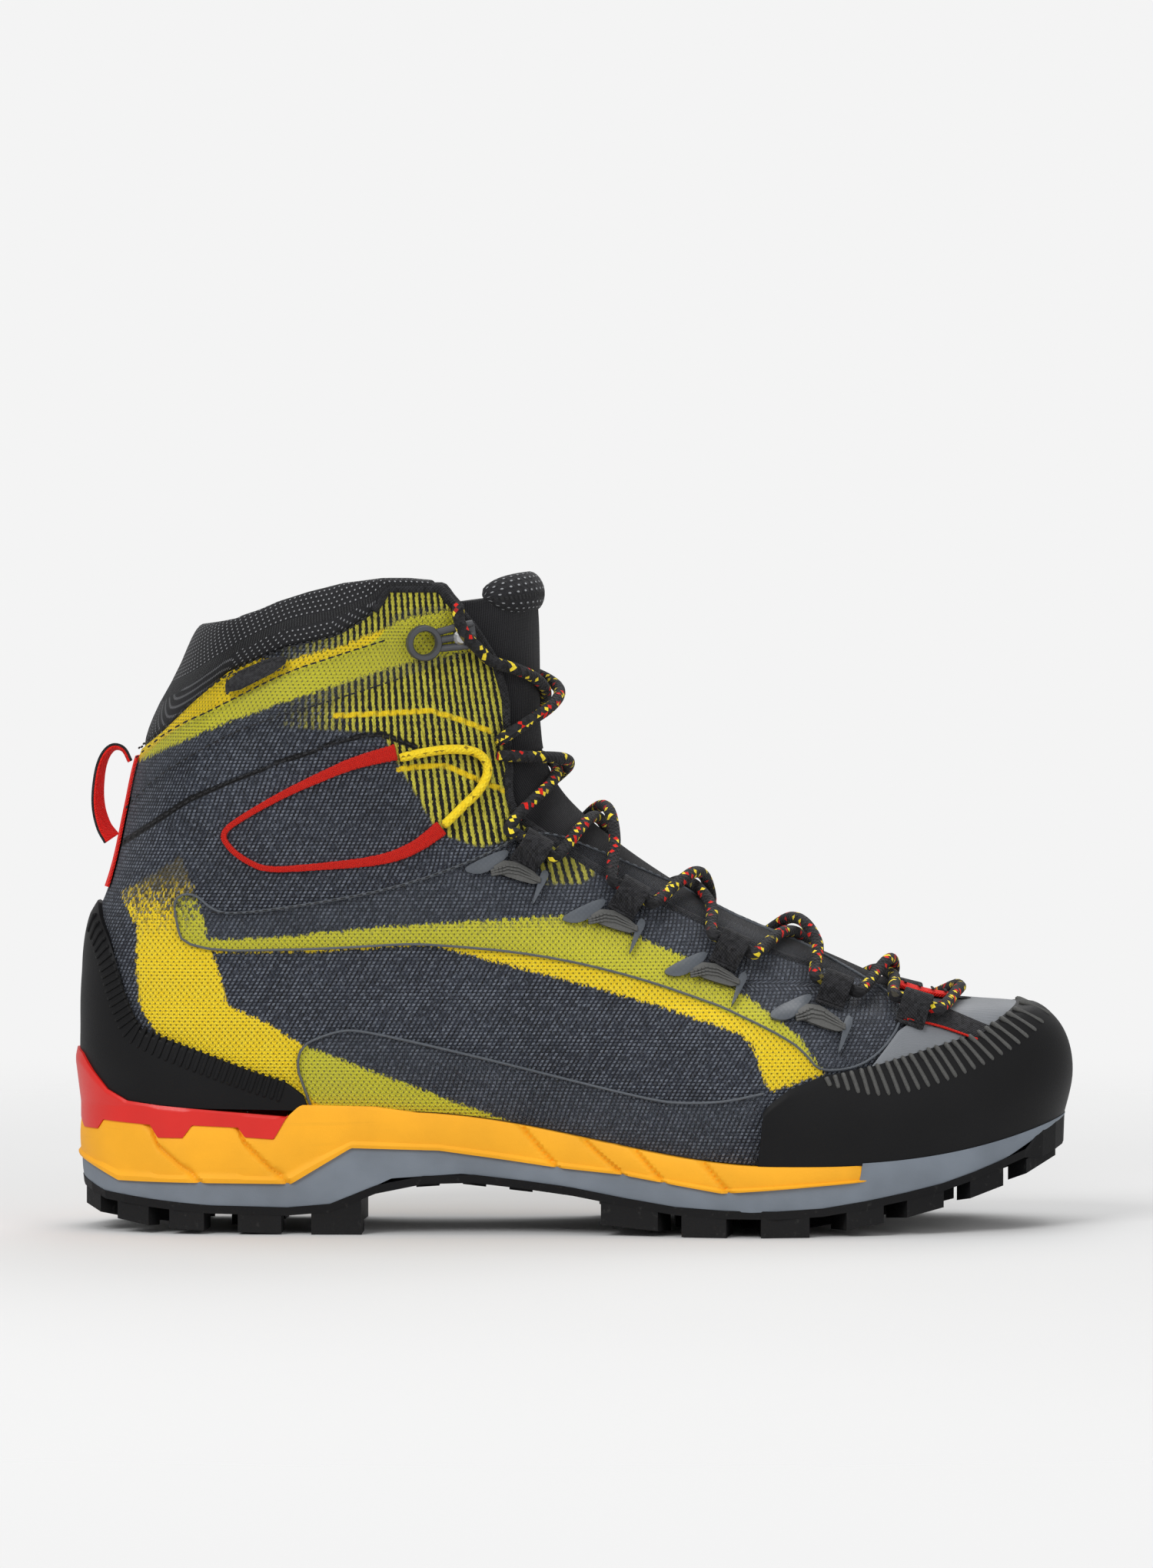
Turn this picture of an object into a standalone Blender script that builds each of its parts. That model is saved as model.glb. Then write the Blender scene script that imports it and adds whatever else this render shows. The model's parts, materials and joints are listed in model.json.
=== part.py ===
"""A right-foot mountaineering boot: layered sole, sock-like knitted upper, flexing cuff and lacing.

The boot points its toe along +X, stands on Z = 0 and turns its outer (lateral) side to -Y.
The last that everything is built around is drawn once, in millimetres, as a stack of tilted rings.
Each ring is a chord from the back of the boot to its front, with a half width along the chord.
Every layer of the upper lies at its own depth under or over that surface, on shared grid lines.
"""

import math

import bmesh
import bpy
from mathutils import Matrix, Vector

# Driving dimensions, in metres.
BOOT_LENGTH = 0.301
BOOT_HEIGHT = 0.198
BALL_WIDTH = 0.105
GAP = 0.0003
SKIN_GAP = 0.0006
LACE_SLACK = 0.0008
KNIT = 0.0012
STIFFENER = 0.0013
LINING = 0.0013
RAND = 0.0015
FILM = 0.0006
COLLAR_PAD = 0.0055
COLLAR_PROUD = 0.0004
TONGUE_PAD = 0.0045
SOLE_FLARE = 0.0028
PLATE = 0.0025
LUG_REACH = 0.016
LUG_SETBACK = 0.0004
BOARD = 0.0022
FOOTBED = 0.0038
SHANK_LENGTH = 0.130
SHANK_WIDTH = 0.024
SHANK = 0.0012
INSERT_DEPTH = 0.0024
LACE_RADIUS = 0.0018
CORD_RADIUS = 0.0014
LOOP_LENGTH = 0.008
LOOP_WIDTH = 0.0095
LOOP_WALL = 0.0011
HOOK_RADIUS = 0.0054
HOOK_BORE = 0.0035
HOOK_THICK = 0.0028
PLATE_LENGTH = 0.012
PLATE_WIDTH = 0.0085
PLATE_THICK = 0.0014
PULL_WIDTH = 0.010
PULL_THICK = 0.0014
TAB_DEPTH = 0.0005
FIN = 0.0011
PANEL = 0.0038
CLOTH_SINK = 0.0002
ROLL_PROUD = 0.0008
ROLL_EXTRA = 0.0016
LACE_CLEARANCE = 0.0013
LACE_LIFT = 0.0042
LACE_START = 0.0044
LACE_RUN_OUT = 0.003
HOOK_ARM_START = 0.0038
ORIGIN_SHIFT = Vector((-0.0004, -0.0018, 0.0))

# The size the last is drawn at, in millimetres.
DRAWN_LENGTH = 301.0
DRAWN_HEIGHT = 198.0
DRAWN_WIDTH = 105.0

# Rings from the feather line up: back x, back z, front x, front z, half widths at heel, waist and
# ball, sideways shift of the front end, sag between the ends, and how long the front rounds in.
RINGS = (
    (-146.6, 38.5, 146.0, 33.5, 33.0, 31.5, 49.5, 10.0, 13.5, 0.35),
    (-147.8, 51.0, 148.6, 45.0, 34.5, 34.5, 51.0, 9.5, 10.0, 0.36),
    (-147.8, 60.5, 147.6, 54.5, 34.0, 35.5, 50.0, 9.0, 7.0, 0.38),
    (-147.8, 67.5, 143.6, 61.5, 33.5, 35.5, 48.0, 8.5, 4.5, 0.42),
    (-147.6, 73.0, 136.5, 65.8, 33.0, 35.5, 44.5, 8.0, 3.0, 0.46),
    (-147.3, 77.5, 120.0, 67.4, 32.5, 35.5, 41.5, 7.0, 1.5, 0.50),
    (-147.0, 83.0, 101.0, 71.0, 32.0, 35.5, 40.0, 6.0, 0.0, 0.50),
    (-146.2, 89.0, 75.0, 82.0, 31.0, 35.5, 38.0, 4.5, 0.0, 0.50),
    (-144.6, 95.0, 45.0, 94.6, 30.5, 35.5, 37.0, 3.5, 0.0, 0.50),
    (-142.0, 101.5, 18.0, 111.0, 30.0, 35.5, 36.0, 2.5, 0.0, 0.50),
    (-140.0, 107.5, -2.0, 127.6, 30.0, 36.0, 35.5, 2.0, 0.0, 0.50),
    (-138.2, 114.5, -10.0, 140.5, 30.0, 36.5, 35.5, 1.0, 0.0, 0.50),
    (-135.6, 127.0, -12.0, 151.0, 30.0, 37.0, 35.5, 0.0, 0.0, 0.50),
    (-132.2, 142.0, -12.2, 162.0, 30.5, 37.5, 35.5, 0.0, 0.0, 0.50),
    (-126.4, 155.4, -12.3, 173.0, 31.5, 38.0, 36.0, 0.0, 0.0, 0.50),
    (-119.5, 168.0, -12.6, 184.0, 32.5, 38.5, 36.5, 0.0, 0.0, 0.50),
    (-114.5, 181.0, -13.5, 195.0, 33.5, 39.0, 37.0, 0.0, 0.0, 0.50),
    (-110.5, 190.0, -15.0, 206.0, 34.0, 39.5, 37.5, 0.0, 0.0, 0.50),
)
# How far the throat's edge lies behind the front of each ring, from the ring where it starts.
THROAT_RING = 6
THROAT_BACK = (0.0, 13.0, 11.0, 14.0, 16.0, 10.0, 8.5, 9.0, 12.0, 18.0, 26.0, 30.0)
CUFF_RING = 11
FLEX_RING = 10
FLEX_MARGIN = 0.02
SEAM = 0.5
PANEL_MARGIN = 0.12
# Share of the throat's width that the tongue fills below the flex line and above it.
TONGUE_SHARE = 0.92
TONGUE_NARROW_SHARE = 0.62
# Toe and heel lugs reach in by this share of the others.
END_LUG_SHARE = 0.5
CUFF_AXIS = (-78.0, 112.0)
TONGUE_AXIS = (-10.0, 143.0)
TONGUE_BASE_RING = 6.3
TONGUE_UPPER_RING = 11.35
TONGUE_TOP_RING = 15.6
ROLL_TOP_RING = 16.25

# Heights of the shared grid lines: every ring, and two more where the throat opens.
GRID_ROWS = tuple(sorted(list(range(len(RINGS))) + [6.3, 6.6]))
# Grid lines around the upper on each side, and around the sole on each side.
SIDE_LINES = 18
SOLE_LINES = 30

# Side-view outlines, in millimetres, x forward and z up.
YELLOW_BOTTOM = ((-150, 24), (-135, 15.7), (-85, 15.2), (-67, 26), (-41, 25.3), (-4, 20.1),
                 (14, 18.5), (44, 13.3), (89, 16.6), (150, 20))
GREY_BOTTOM = ((-150, 18), (-140, 12.6), (-127, 10.8), (-112, 9.1), (-84, 8.4), (-71, 9.8), (-55, 17.3),
               (-34, 18.7), (-4, 15.2), (27, 9.6), (52, 8), (71, 8.7), (91, 11.7), (111, 16.1),
               (125, 21.1), (132, 24.5))
GROUND = ((-151, 10), (-147, 7), (-140, 4.5), (-127, 2.2), (-111, 1), (-79, 0), (-64, 0), (8, 3.4),
          (25, 1.6), (32, 0), (69, 0), (80, 1.9), (91, 3.7), (98, 5.1), (109, 7.7), (118, 10.3),
          (127, 13.1), (134, 16.1), (150, 23.9))
TOE_RAND_TOP = ((44, 24.3), (52, 32.8), (57, 39.3), (63, 44), (73, 47.7), (89, 50.5), (105, 54.8),
                (119, 58.5), (126, 62), (134, 66.5))
HEEL_RAND_TOP = ((-170, 99), (-143, 98), (-142, 94), (-139, 87.3), (-137, 81.2), (-135, 74), (-132, 66.2),
                 (-129, 60.8), (-97, 49), (-86, 45.6), (-80, 41), (-79, 20))
SIDE_FILM_TOP = ((-78, 20), (-78, 42), (-85, 55.2), (-71, 61.3), (-62, 60.8), (-33, 54.3), (3, 45.4),
                 (24, 40.7), (32, 40), (44, 40.4), (50, 38), (42, 24), (42, 10))
CAGE_TOP = ((-120, 95.5), (-120, 100.9), (-114, 102), (-108, 96.2), (-100, 95.9), (-77, 99.2),
            (-58, 102.7), (-40, 108), (-25, 114), (-12, 121), (10, 112), (40, 98), (70, 84), (84, 73),
            (84, 60))
CAGE_BOTTOM = ((-117, 84.2), (-77, 85.4), (-58, 86.6), (-12, 87.5), (18, 76.8), (44, 67.4), (63, 58.5),
               (72, 53))
STRAP_TOP = ((-131, 142), (-118, 152.6), (-103, 159.5), (-86, 168), (-72, 172.9), (-58, 177.4),
             (-50, 186), (-40, 187), (-10, 188))
STRAP_BOTTOM = ((-133, 129.4), (-123, 138.3), (-107, 147.9), (-89, 154.9), (-72, 160), (-54, 165.9),
                (-10, 173.5))
COLLAR_BOTTOM = ((-170, 135), (-131, 144.6), (-124, 150), (-114, 159.4), (-104, 168), (-86, 175.7),
                 (-72, 178.5), (-61, 185), (-57, 190))
CUFF_TOP = ((-170, 183), (-114, 183), (-101, 184.4), (-95, 186.7), (-89, 189.4), (-80, 192.2),
            (-69, 194.6), (-57, 196))
CUFF_FRONT_TOP = ((-56.5, 195), (-41, 193), (-30, 190), (20, 190))
TAG = ((-104, 160.4), (-104.6, 166.6), (-86, 174), (-85.4, 169.6))
COUNTER = ((-170, 20), (-170, 94), (-120, 90), (-60, 60), (-36, 20))
PUFF = ((74, 10), (86, 50), (110, 90), (170, 90), (170, 10))
PULL_PATH = ((-135.0, 140.6), (-137.2, 144.4), (-140.4, 144.8), (-143.2, 141), (-144.6, 134), (-144.6, 127),
             (-143.0, 121), (-140.6, 117.2))

# Lace loops as side-view points on the throat's edge, and the lug blocks' stretches of the sole.
LOOP_PLACES = ((101.0, 64.5), (77.0, 70.0), (45.5, 83.0), (15.0, 99.0), (-14.0, 114.0))
HOOK_PLACE = (-46.0, 177.0)
EDGE_LUGS = ((-150, -141), (-136, -127), (-121, -111), (-101, -88), (-79, -64), (8, 25), (32, 45),
             (55, 69), (80, 91), (98, 109), (117, 127), (134, 143))
CENTRE_LUGS = ((-126, -112), (-104, -90), (12, 22), (30, 42), (50, 62), (70, 80), (88, 97), (105, 114))
ARCH_LUGS = ((-48, -41), (-34, -27), (-20, -13))
INSERT_TEETH = (-143.5, -119.5, -98.0)
INSERT_FRONT = 126.0
YELLOW_FRONT = 54.0

COLOURS = {
    "rubber": ((0.012, 0.012, 0.012), 0.65),
    "grey_foam": ((0.19, 0.22, 0.25), 0.6),
    "yellow_foam": ((0.93, 0.42, 0.01), 0.55),
    "red_plastic": ((0.70, 0.01, 0.005), 0.4),
    "board": ((0.45, 0.40, 0.30), 0.8),
    "steel": ((0.50, 0.50, 0.50), 0.35),
    "footbed": ((0.10, 0.10, 0.11), 0.9),
    "stiffener": ((0.60, 0.58, 0.52), 0.6),
    "knit": ((0.05, 0.06, 0.08), 0.9),
    "lining": ((0.03, 0.03, 0.03), 0.95),
    "film": ((0.20, 0.22, 0.24), 0.3),
    "black_fabric": ((0.015, 0.015, 0.017), 0.9),
    "red_fabric": ((0.60, 0.01, 0.01), 0.8),
    "yellow_cord": ((0.90, 0.55, 0.02), 0.7),
    "hook_plastic": ((0.05, 0.05, 0.055), 0.35),
}


def length_scale():
    return BOOT_LENGTH / DRAWN_LENGTH


def height_scale():
    return BOOT_HEIGHT / DRAWN_HEIGHT


def width_scale():
    return BALL_WIDTH / DRAWN_WIDTH


def clear_scene():
    for obj in list(bpy.data.objects):
        bpy.data.objects.remove(obj, do_unlink=True)


def collection(name):
    found = bpy.data.collections.get(name)
    if found is None:
        found = bpy.data.collections.new(name)
        bpy.context.scene.collection.children.link(found)
    return found


def material(name, kind):
    colour, roughness = COLOURS[kind]
    made = bpy.data.materials.new(name)
    made.use_nodes = True
    shader = made.node_tree.nodes["Principled BSDF"]
    shader.inputs["Base Color"].default_value = (*colour, 1.0)
    shader.inputs["Roughness"].default_value = roughness
    shader.inputs["Metallic"].default_value = 1.0 if kind == "steel" else 0.0
    return made


def part_from(name, kind, mesh, smooth=True):
    obj = bpy.data.objects.new(name, mesh)
    collection("mountaineering_boot").objects.link(obj)
    mesh.materials.append(material(name, kind))
    if smooth:
        mesh.shade_smooth()
        mesh.set_sharp_from_angle(angle=math.radians(35))
    return obj


def interpolate(points, x):
    """Height of a side-view outline at x, level beyond its ends."""
    if x <= points[0][0]:
        return points[0][1]
    for (x0, z0), (x1, z1) in zip(points, points[1:]):
        if x <= x1:
            return z0 + (z1 - z0) * (x - x0) / (x1 - x0)
    return points[-1][1]


def smooth_step(t):
    t = min(max(t, 0.0), 1.0)
    return t * t * (3.0 - 2.0 * t)


def ring(v):
    """The last's ring at any height v, on a smooth curve through the drawn rings."""
    k = min(max(int(math.floor(v)), 0), len(RINGS) - 2)
    t = v - k
    rows = [RINGS[min(max(k + step, 0), len(RINGS) - 1)] for step in (-1, 0, 1, 2)]
    if t < 0.0:
        return tuple(b + (c - b) * t for b, c in zip(rows[1], rows[2]))
    values = []
    for a, b, c, d in zip(*rows):
        curve = 2 * b + (c - a) * t + (2 * a - 5 * b + 4 * c - d) * t * t + (3 * b - a - 3 * c + d) * t ** 3
        values.append(curve / 2)
    return tuple(values)


def sag_shape(s):
    """The forefoot dips below the straight chord, deepest at the ball and gone at the toe."""
    if s <= 0.72:
        return smooth_step((s - 0.33) / 0.37)
    return 1.0 - ((s - 0.72) / 0.28) ** 2.5


def rounding(t, power):
    t = min(max(t, 0.0), 1.0)
    return (1.0 - (1.0 - t) ** power) ** (1.0 / power)


def half_width(row, s):
    heel, waist, ball, front_share = row[4], row[5], row[6], row[9]
    if s < 0.42:
        width = heel + (waist - heel) * smooth_step((s - 0.14) / 0.28)
    else:
        width = waist + (ball - waist) * smooth_step((s - 0.42) / 0.30)
    return width * rounding(s / 0.14, 2.2) * rounding((1.0 - s) / front_share, 2.15)


def centre_line(row, s):
    """The foot bends: its waist shifts to the lateral side and its toe to the medial side."""
    low = row[7] / 10.0
    waist_shift = -3.0 * low * math.exp(-((s - 0.38) / 0.16) ** 2)
    return waist_shift + row[7] * smooth_step((s - 0.60) / 0.40)


def last_point(angle, v):
    """A point of the last: angle 0 at the front, pi at the back, lateral side between them."""
    row = ring(v)
    s = (1.0 + math.cos(angle)) / 2.0
    x = row[0] + (row[2] - row[0]) * s
    z = row[1] + (row[3] - row[1]) * s - row[8] * sag_shape(s)
    side = -1.0 if math.sin(angle) > 0.0 else 1.0
    y = centre_line(row, s) + side * half_width(row, s)
    return Vector((x * length_scale(), y * width_scale(), z * height_scale())) + ORIGIN_SHIFT


def last_normal(angle, v):
    step = 0.02
    around = last_point(angle + step, v) - last_point(angle - step, v)
    up = last_point(angle, v + step) - last_point(angle, v - step)
    return up.cross(around).normalized()


def offset_point(angle, v, depth):
    return last_point(angle, v) + last_normal(angle, v) * depth


def throat_angle(v):
    """Angle of the throat's edge, or 0 where the upper is closed over the toe."""
    place = v - THROAT_RING
    if place <= 0.0:
        return 0.0
    k = min(int(place), len(THROAT_BACK) - 2)
    back = THROAT_BACK[k] + (THROAT_BACK[k + 1] - THROAT_BACK[k]) * (place - k)
    row = ring(v)
    return math.acos(1.0 - 2.0 * back / (row[2] - row[0]))


def upper_angle(c, v):
    """Grid line c runs from 0 at the lateral throat edge, over 1 at the heel, to 2 at the medial one."""
    start = throat_angle(v)
    if c <= 1.0:
        return math.pi * c + start * (1.0 - c) ** 2
    return math.pi * c - start * (c - 1.0) ** 2


def upper_point(c, v, depth):
    """A point between two grid rows lies on the straight line that joins them, so facets match."""
    for low, high in zip(GRID_ROWS, GRID_ROWS[1:]):
        if low < v < high:
            below = offset_point(upper_angle(c, low), low, depth)
            above = offset_point(upper_angle(c, high), high, depth)
            return below.lerp(above, (v - low) / (high - low))
    return offset_point(upper_angle(c, v), v, depth)


def drawn(point):
    """A world point back in the last's drawn millimetres."""
    local = point - ORIGIN_SHIFT
    return local.x / length_scale(), local.z / height_scale()


def snapped(v):
    """Edges close to a grid line move onto it, which keeps slivers out."""
    near = min(GRID_ROWS, key=lambda row: abs(row - v))
    return float(near) if abs(v - near) < 0.06 else v


def grid_mesh(name, columns, low, high, place, wrap=False):
    """A surface between two edges that follow the shared grid lines."""
    mesh = bpy.data.meshes.new(name)
    shape = bmesh.new()
    edges = [(snapped(low(c)), snapped(high(c))) for c in columns]
    lowest = min(edge[0] for edge in edges)
    highest = max(edge[1] for edge in edges)
    rows = [lowest] + [row for row in GRID_ROWS if lowest < row < highest] + [highest]
    lines = []
    for c, (bottom, top) in zip(columns, edges):
        heights = [min(max(float(row), bottom), top) for row in rows]
        known = {v: shape.verts.new(place(c, v)) for v in sorted(set(heights))}
        lines.append([known[v] for v in heights])
    if wrap:
        lines.append(lines[0])
    for near, far in zip(lines, lines[1:]):
        for k in range(len(rows) - 1):
            corners = list(dict.fromkeys((near[k], near[k + 1], far[k + 1], far[k])))
            if len(corners) > 2:
                shape.faces.new(corners)
    shape.to_mesh(mesh)
    shape.free()
    return mesh


def solidify(obj, thickness):
    skin = obj.modifiers.new("thickness", "SOLIDIFY")
    skin.thickness = thickness
    skin.offset = -1.0
    skin.use_even_offset = False
    return obj


def layer(name, kind, columns, low, high, outside, thickness, wrap=False):
    """One sheet of the upper: its outer face at depth outside, its body inward from there."""
    mesh = grid_mesh(name, columns, low, high, lambda c, v: upper_point(c, v, outside), wrap)
    return solidify(part_from(name, kind, mesh), thickness)


def lines_between(first, last):
    return [index / SIDE_LINES for index in range(first, last + 1)]


def toe_lines(reach):
    """Grid lines from the medial side round the toe to the lateral side."""
    medial = [index / SIDE_LINES for index in range(2 * SIDE_LINES - reach, 2 * SIDE_LINES)]
    lateral = [index / SIDE_LINES for index in range(0, reach + 1)]
    return medial + lateral


def level(v):
    return lambda c: v


def side_lines(side, first, last):
    """Grid lines counted from the throat on one side, in the order that faces outward."""
    if side == "lateral":
        return lines_between(first, last)
    return lines_between(2 * SIDE_LINES - last, 2 * SIDE_LINES - first)


def join_operand(name, pieces):
    """Several closed shapes as one hidden cutter or adder."""
    shape = bmesh.new()
    for piece in pieces:
        shape.from_mesh(piece)
        bpy.data.meshes.remove(piece)
    mesh = bpy.data.meshes.new(name)
    bmesh.ops.recalc_face_normals(shape, faces=shape.faces)
    shape.to_mesh(mesh)
    shape.free()
    obj = bpy.data.objects.new(name, mesh)
    collection("cutters").objects.link(obj)
    obj.hide_render = True
    obj.display_type = "WIRE"
    return obj


def boolean(obj, operand, operation):
    cut = obj.modifiers.new(operand.name, "BOOLEAN")
    cut.operation = operation
    cut.solver = "EXACT"
    cut.object = operand
    return obj


def prism(name, outline, reach=(-0.2, 0.2)):
    """A cutter whose side-view outline, in drawn millimetres, runs straight across the boot."""
    mesh = bpy.data.meshes.new(name)
    shape = bmesh.new()
    spots = [Vector((x * length_scale(), 0.0, z * height_scale())) + ORIGIN_SHIFT for x, z in outline]
    near = [shape.verts.new((spot.x, reach[0], spot.z)) for spot in spots]
    far = [shape.verts.new((spot.x, reach[1], spot.z)) for spot in spots]
    shape.faces.new(near)
    shape.faces.new(far)
    for index in range(len(near)):
        after = (index + 1) % len(near)
        shape.faces.new((near[index], near[after], far[after], far[index]))
    bmesh.ops.recalc_face_normals(shape, faces=shape.faces)
    shape.to_mesh(mesh)
    shape.free()
    obj = bpy.data.objects.new(name, mesh)
    collection("cutters").objects.link(obj)
    obj.hide_render = True
    obj.display_type = "WIRE"
    return obj


def trimmed(obj, outline):
    """Keeps what lies inside a side-view outline."""
    return boolean(obj, prism(obj.name + "_outline", outline), "INTERSECT")


def shifted(outline, along=0.0, up=0.0):
    return tuple((x + along, z + up) for x, z in outline)


def hexahedron(corners):
    """A six-faced block from its four lower and four upper corners, each set in turn order."""
    mesh = bpy.data.meshes.new("block")
    shape = bmesh.new()
    verts = [shape.verts.new(corner) for corner in corners]
    for face in ((3, 2, 1, 0), (4, 5, 6, 7), (0, 1, 5, 4), (1, 2, 6, 5), (2, 3, 7, 6), (3, 0, 4, 7)):
        shape.faces.new([verts[index] for index in face])
    bmesh.ops.recalc_face_normals(shape, faces=shape.faces)
    shape.to_mesh(mesh)
    shape.free()
    return mesh


# ---------------------------------------------------------------- sole unit

def outline_point(angle, out):
    """The feather line in plan, moved outward; its drawn x is returned for the height outlines."""
    step = 0.01
    here = last_point(angle, 0.0)
    ahead = last_point(angle + step, 0.0) - last_point(angle - step, 0.0)
    outward = Vector((ahead.y, -ahead.x, 0.0)).normalized()
    moved = here + outward * -out
    return moved, drawn(here)[0]


def sole_row(angles, out, height):
    """One closed ring of the sole: out and height may follow the angle and the drawn x."""
    points = []
    for angle in angles:
        moved, x = outline_point(angle, out(angle) if callable(out) else out)
        points.append(Vector((moved.x, moved.y, height(angle, x))))
    return points


def sole_angles(front):
    """Angles of the lateral grid lines from the front of a sole piece to the heel."""
    step = math.pi / SOLE_LINES
    first = int(round(math.radians(front) / step))
    return [index * step for index in range(first, SOLE_LINES + 1)]


def sole_loft(name, kind, front, rows):
    """Rings stacked from the top down, closed across the foot by straight strips."""
    lateral = sole_angles(front)
    medial = [2.0 * math.pi - angle for angle in reversed(lateral[:-1])]
    if front == 0:
        medial = medial[:-1]
    angles = lateral + medial
    count = len(lateral)
    mesh = bpy.data.meshes.new(name)
    shape = bmesh.new()
    rings = [[shape.verts.new(point) for point in sole_row(angles, out, height)] for out, height in rows]
    total = len(angles)
    for upper, lower in zip(rings, rings[1:]):
        for index in range(total):
            after = (index + 1) % total
            shape.faces.new((upper[index], upper[after], lower[after], lower[index]))
    for row in (rings[0], rings[-1]):
        for index in range(count - 1):
            shape.faces.new(strip_corners(row, index, count, total, front))
    bmesh.ops.recalc_face_normals(shape, faces=shape.faces)
    shape.to_mesh(mesh)
    shape.free()
    return part_from(name, kind, mesh)


def strip_corners(row, index, count, total, front):
    """Lateral points index and index + 1 with the medial points across from them."""
    def across(place):
        if place == count - 1:
            return row[count - 1]
        if front == 0 and place == 0:
            return row[0]
        offset = 0 if front == 0 else 1
        return row[(total - place - offset) % total]
    return list(dict.fromkeys((row[index], row[index + 1], across(index + 1), across(index))))


def feather_height(angle, x):
    return last_point(angle, 0.0).z


def outline_height(outline, shift=0.0):
    return lambda angle, x: interpolate(outline, x) * height_scale() + shift


def insert_low(angle, x):
    """The heel insert's lower edge steps down into three teeth on each side."""
    tooth = any(abs(x - place) < 4.5 for place in INSERT_TEETH)
    return (28.3 if tooth else 33.0) * height_scale()


def at_heel(angle, front):
    """True on the stretch of the outline behind a front angle."""
    turned = angle if angle <= math.pi else 2.0 * math.pi - angle
    return turned > math.radians(front) - 0.001


def make_yellow_midsole():
    def ledge_out(angle):
        return SOLE_FLARE - INSERT_DEPTH - GAP if at_heel(angle, INSERT_FRONT - 6) else SOLE_FLARE

    def ledge(angle, x):
        return insert_low(angle, x) - GAP

    rows = (
        (ledge_out, lambda angle, x: feather_height(angle, x) - GAP),
        (ledge_out, lambda angle, x: ledge(angle, x) - 0.00005),
        (SOLE_FLARE, lambda angle, x: min(ledge(angle, x), feather_height(angle, x) - GAP) - 0.0004),
        (SOLE_FLARE + 0.0002, outline_height(YELLOW_BOTTOM)),
    )
    return sole_loft("midsole_yellow", "yellow_foam", YELLOW_FRONT, rows)


def grey_top(angle, x):
    """Under the yellow midsole to its front end, then straight up to the feather line."""
    if at_heel(angle, YELLOW_FRONT):
        return interpolate(YELLOW_BOTTOM, x) * height_scale() - GAP
    return feather_height(angle, x) - GAP


def make_grey_midsole():
    rows = ((SOLE_FLARE, grey_top), (SOLE_FLARE, outline_height(GREY_BOTTOM)))
    return sole_loft("midsole_grey", "grey_foam", 24, rows)


def outsole_top(angle, x):
    if at_heel(angle, 24):
        return interpolate(GREY_BOTTOM, x) * height_scale() - GAP
    return feather_height(angle, x) - GAP


def outsole_bottom(angle, x):
    if at_heel(angle, 24):
        return interpolate(GREY_BOTTOM, x) * height_scale() - GAP - PLATE
    return (interpolate(GROUND, x) + 3.0) * height_scale()


def angle_at(x):
    """Angle of the feather line's lateral point at a drawn x."""
    back, front = RINGS[0][0], RINGS[0][2]
    share = min(max((x - back) / (front - back), 0.004), 0.996)
    return math.acos(2.0 * share - 1.0)


def lug(x0, x1, side, inner, outer):
    """A tread block between two drawn x, from outer to inner millimetres inside the sole's edge."""
    corners = []
    for rise in (False, True):
        for x, reach in ((x0, outer), (x1, outer), (x1, inner), (x0, inner)):
            angle = angle_at(x)
            angle = angle if side == "lateral" else 2.0 * math.pi - angle
            spot = outline_point(angle, SOLE_FLARE - reach)[0]
            at = drawn(spot)[0]
            low = interpolate(GROUND, at) * height_scale()
            plate = outsole_bottom(angle_at(at), at)
            corners.append(Vector((spot.x, spot.y, plate + PLATE / 2 if rise else min(low, plate - 0.001))))
    return hexahedron(corners)


def centre_lug(x0, x1, y0, y1):
    corners = []
    for rise in (False, True):
        for x, y in ((x0, y0), (x1, y0), (x1, y1), (x0, y1)):
            angle = angle_at(x)
            low = interpolate(GROUND, x) * height_scale()
            plate = outsole_bottom(angle, x)
            spot = Vector((x * length_scale(), y * width_scale(), 0.0)) + ORIGIN_SHIFT
            spot.z = plate + PLATE / 2 if rise else min(low, plate - 0.001)
            corners.append(spot)
    return hexahedron(corners)


def make_outsole():
    sole = sole_loft("outsole", "rubber", 0, ((SOLE_FLARE, outsole_top), (SOLE_FLARE - 0.0003, outsole_bottom)))
    blocks = []
    for x0, x1 in EDGE_LUGS:
        for side in ("lateral", "medial"):
            reach = LUG_REACH if -135 < x0 < 110 else LUG_REACH * END_LUG_SHARE
            blocks.append(lug(x0, x1, side, reach, LUG_SETBACK))
    for x0, x1 in CENTRE_LUGS:
        half = 8.0 if x0 < 0 else 14.0
        blocks.append(centre_lug(x0, x1, -half, -2.0))
        blocks.append(centre_lug(x0, x1, 2.0, half))
    for x0, x1 in ARCH_LUGS:
        blocks.append(arch_bar(x0, x1))
    return boolean(sole, join_operand("tread_blocks", blocks), "UNION")


def arch_bar(x0, x1):
    """A low bar across the arch."""
    corners = []
    for rise in (False, True):
        for x, y in ((x0, -20.0), (x1, -20.0), (x1, 18.0), (x0, 18.0)):
            plate = outsole_bottom(angle_at(x), x)
            spot = Vector((x * length_scale(), y * width_scale(), 0.0)) + ORIGIN_SHIFT
            spot.z = plate + PLATE / 2 if rise else plate - 0.002
            corners.append(spot)
    return hexahedron(corners)


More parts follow.
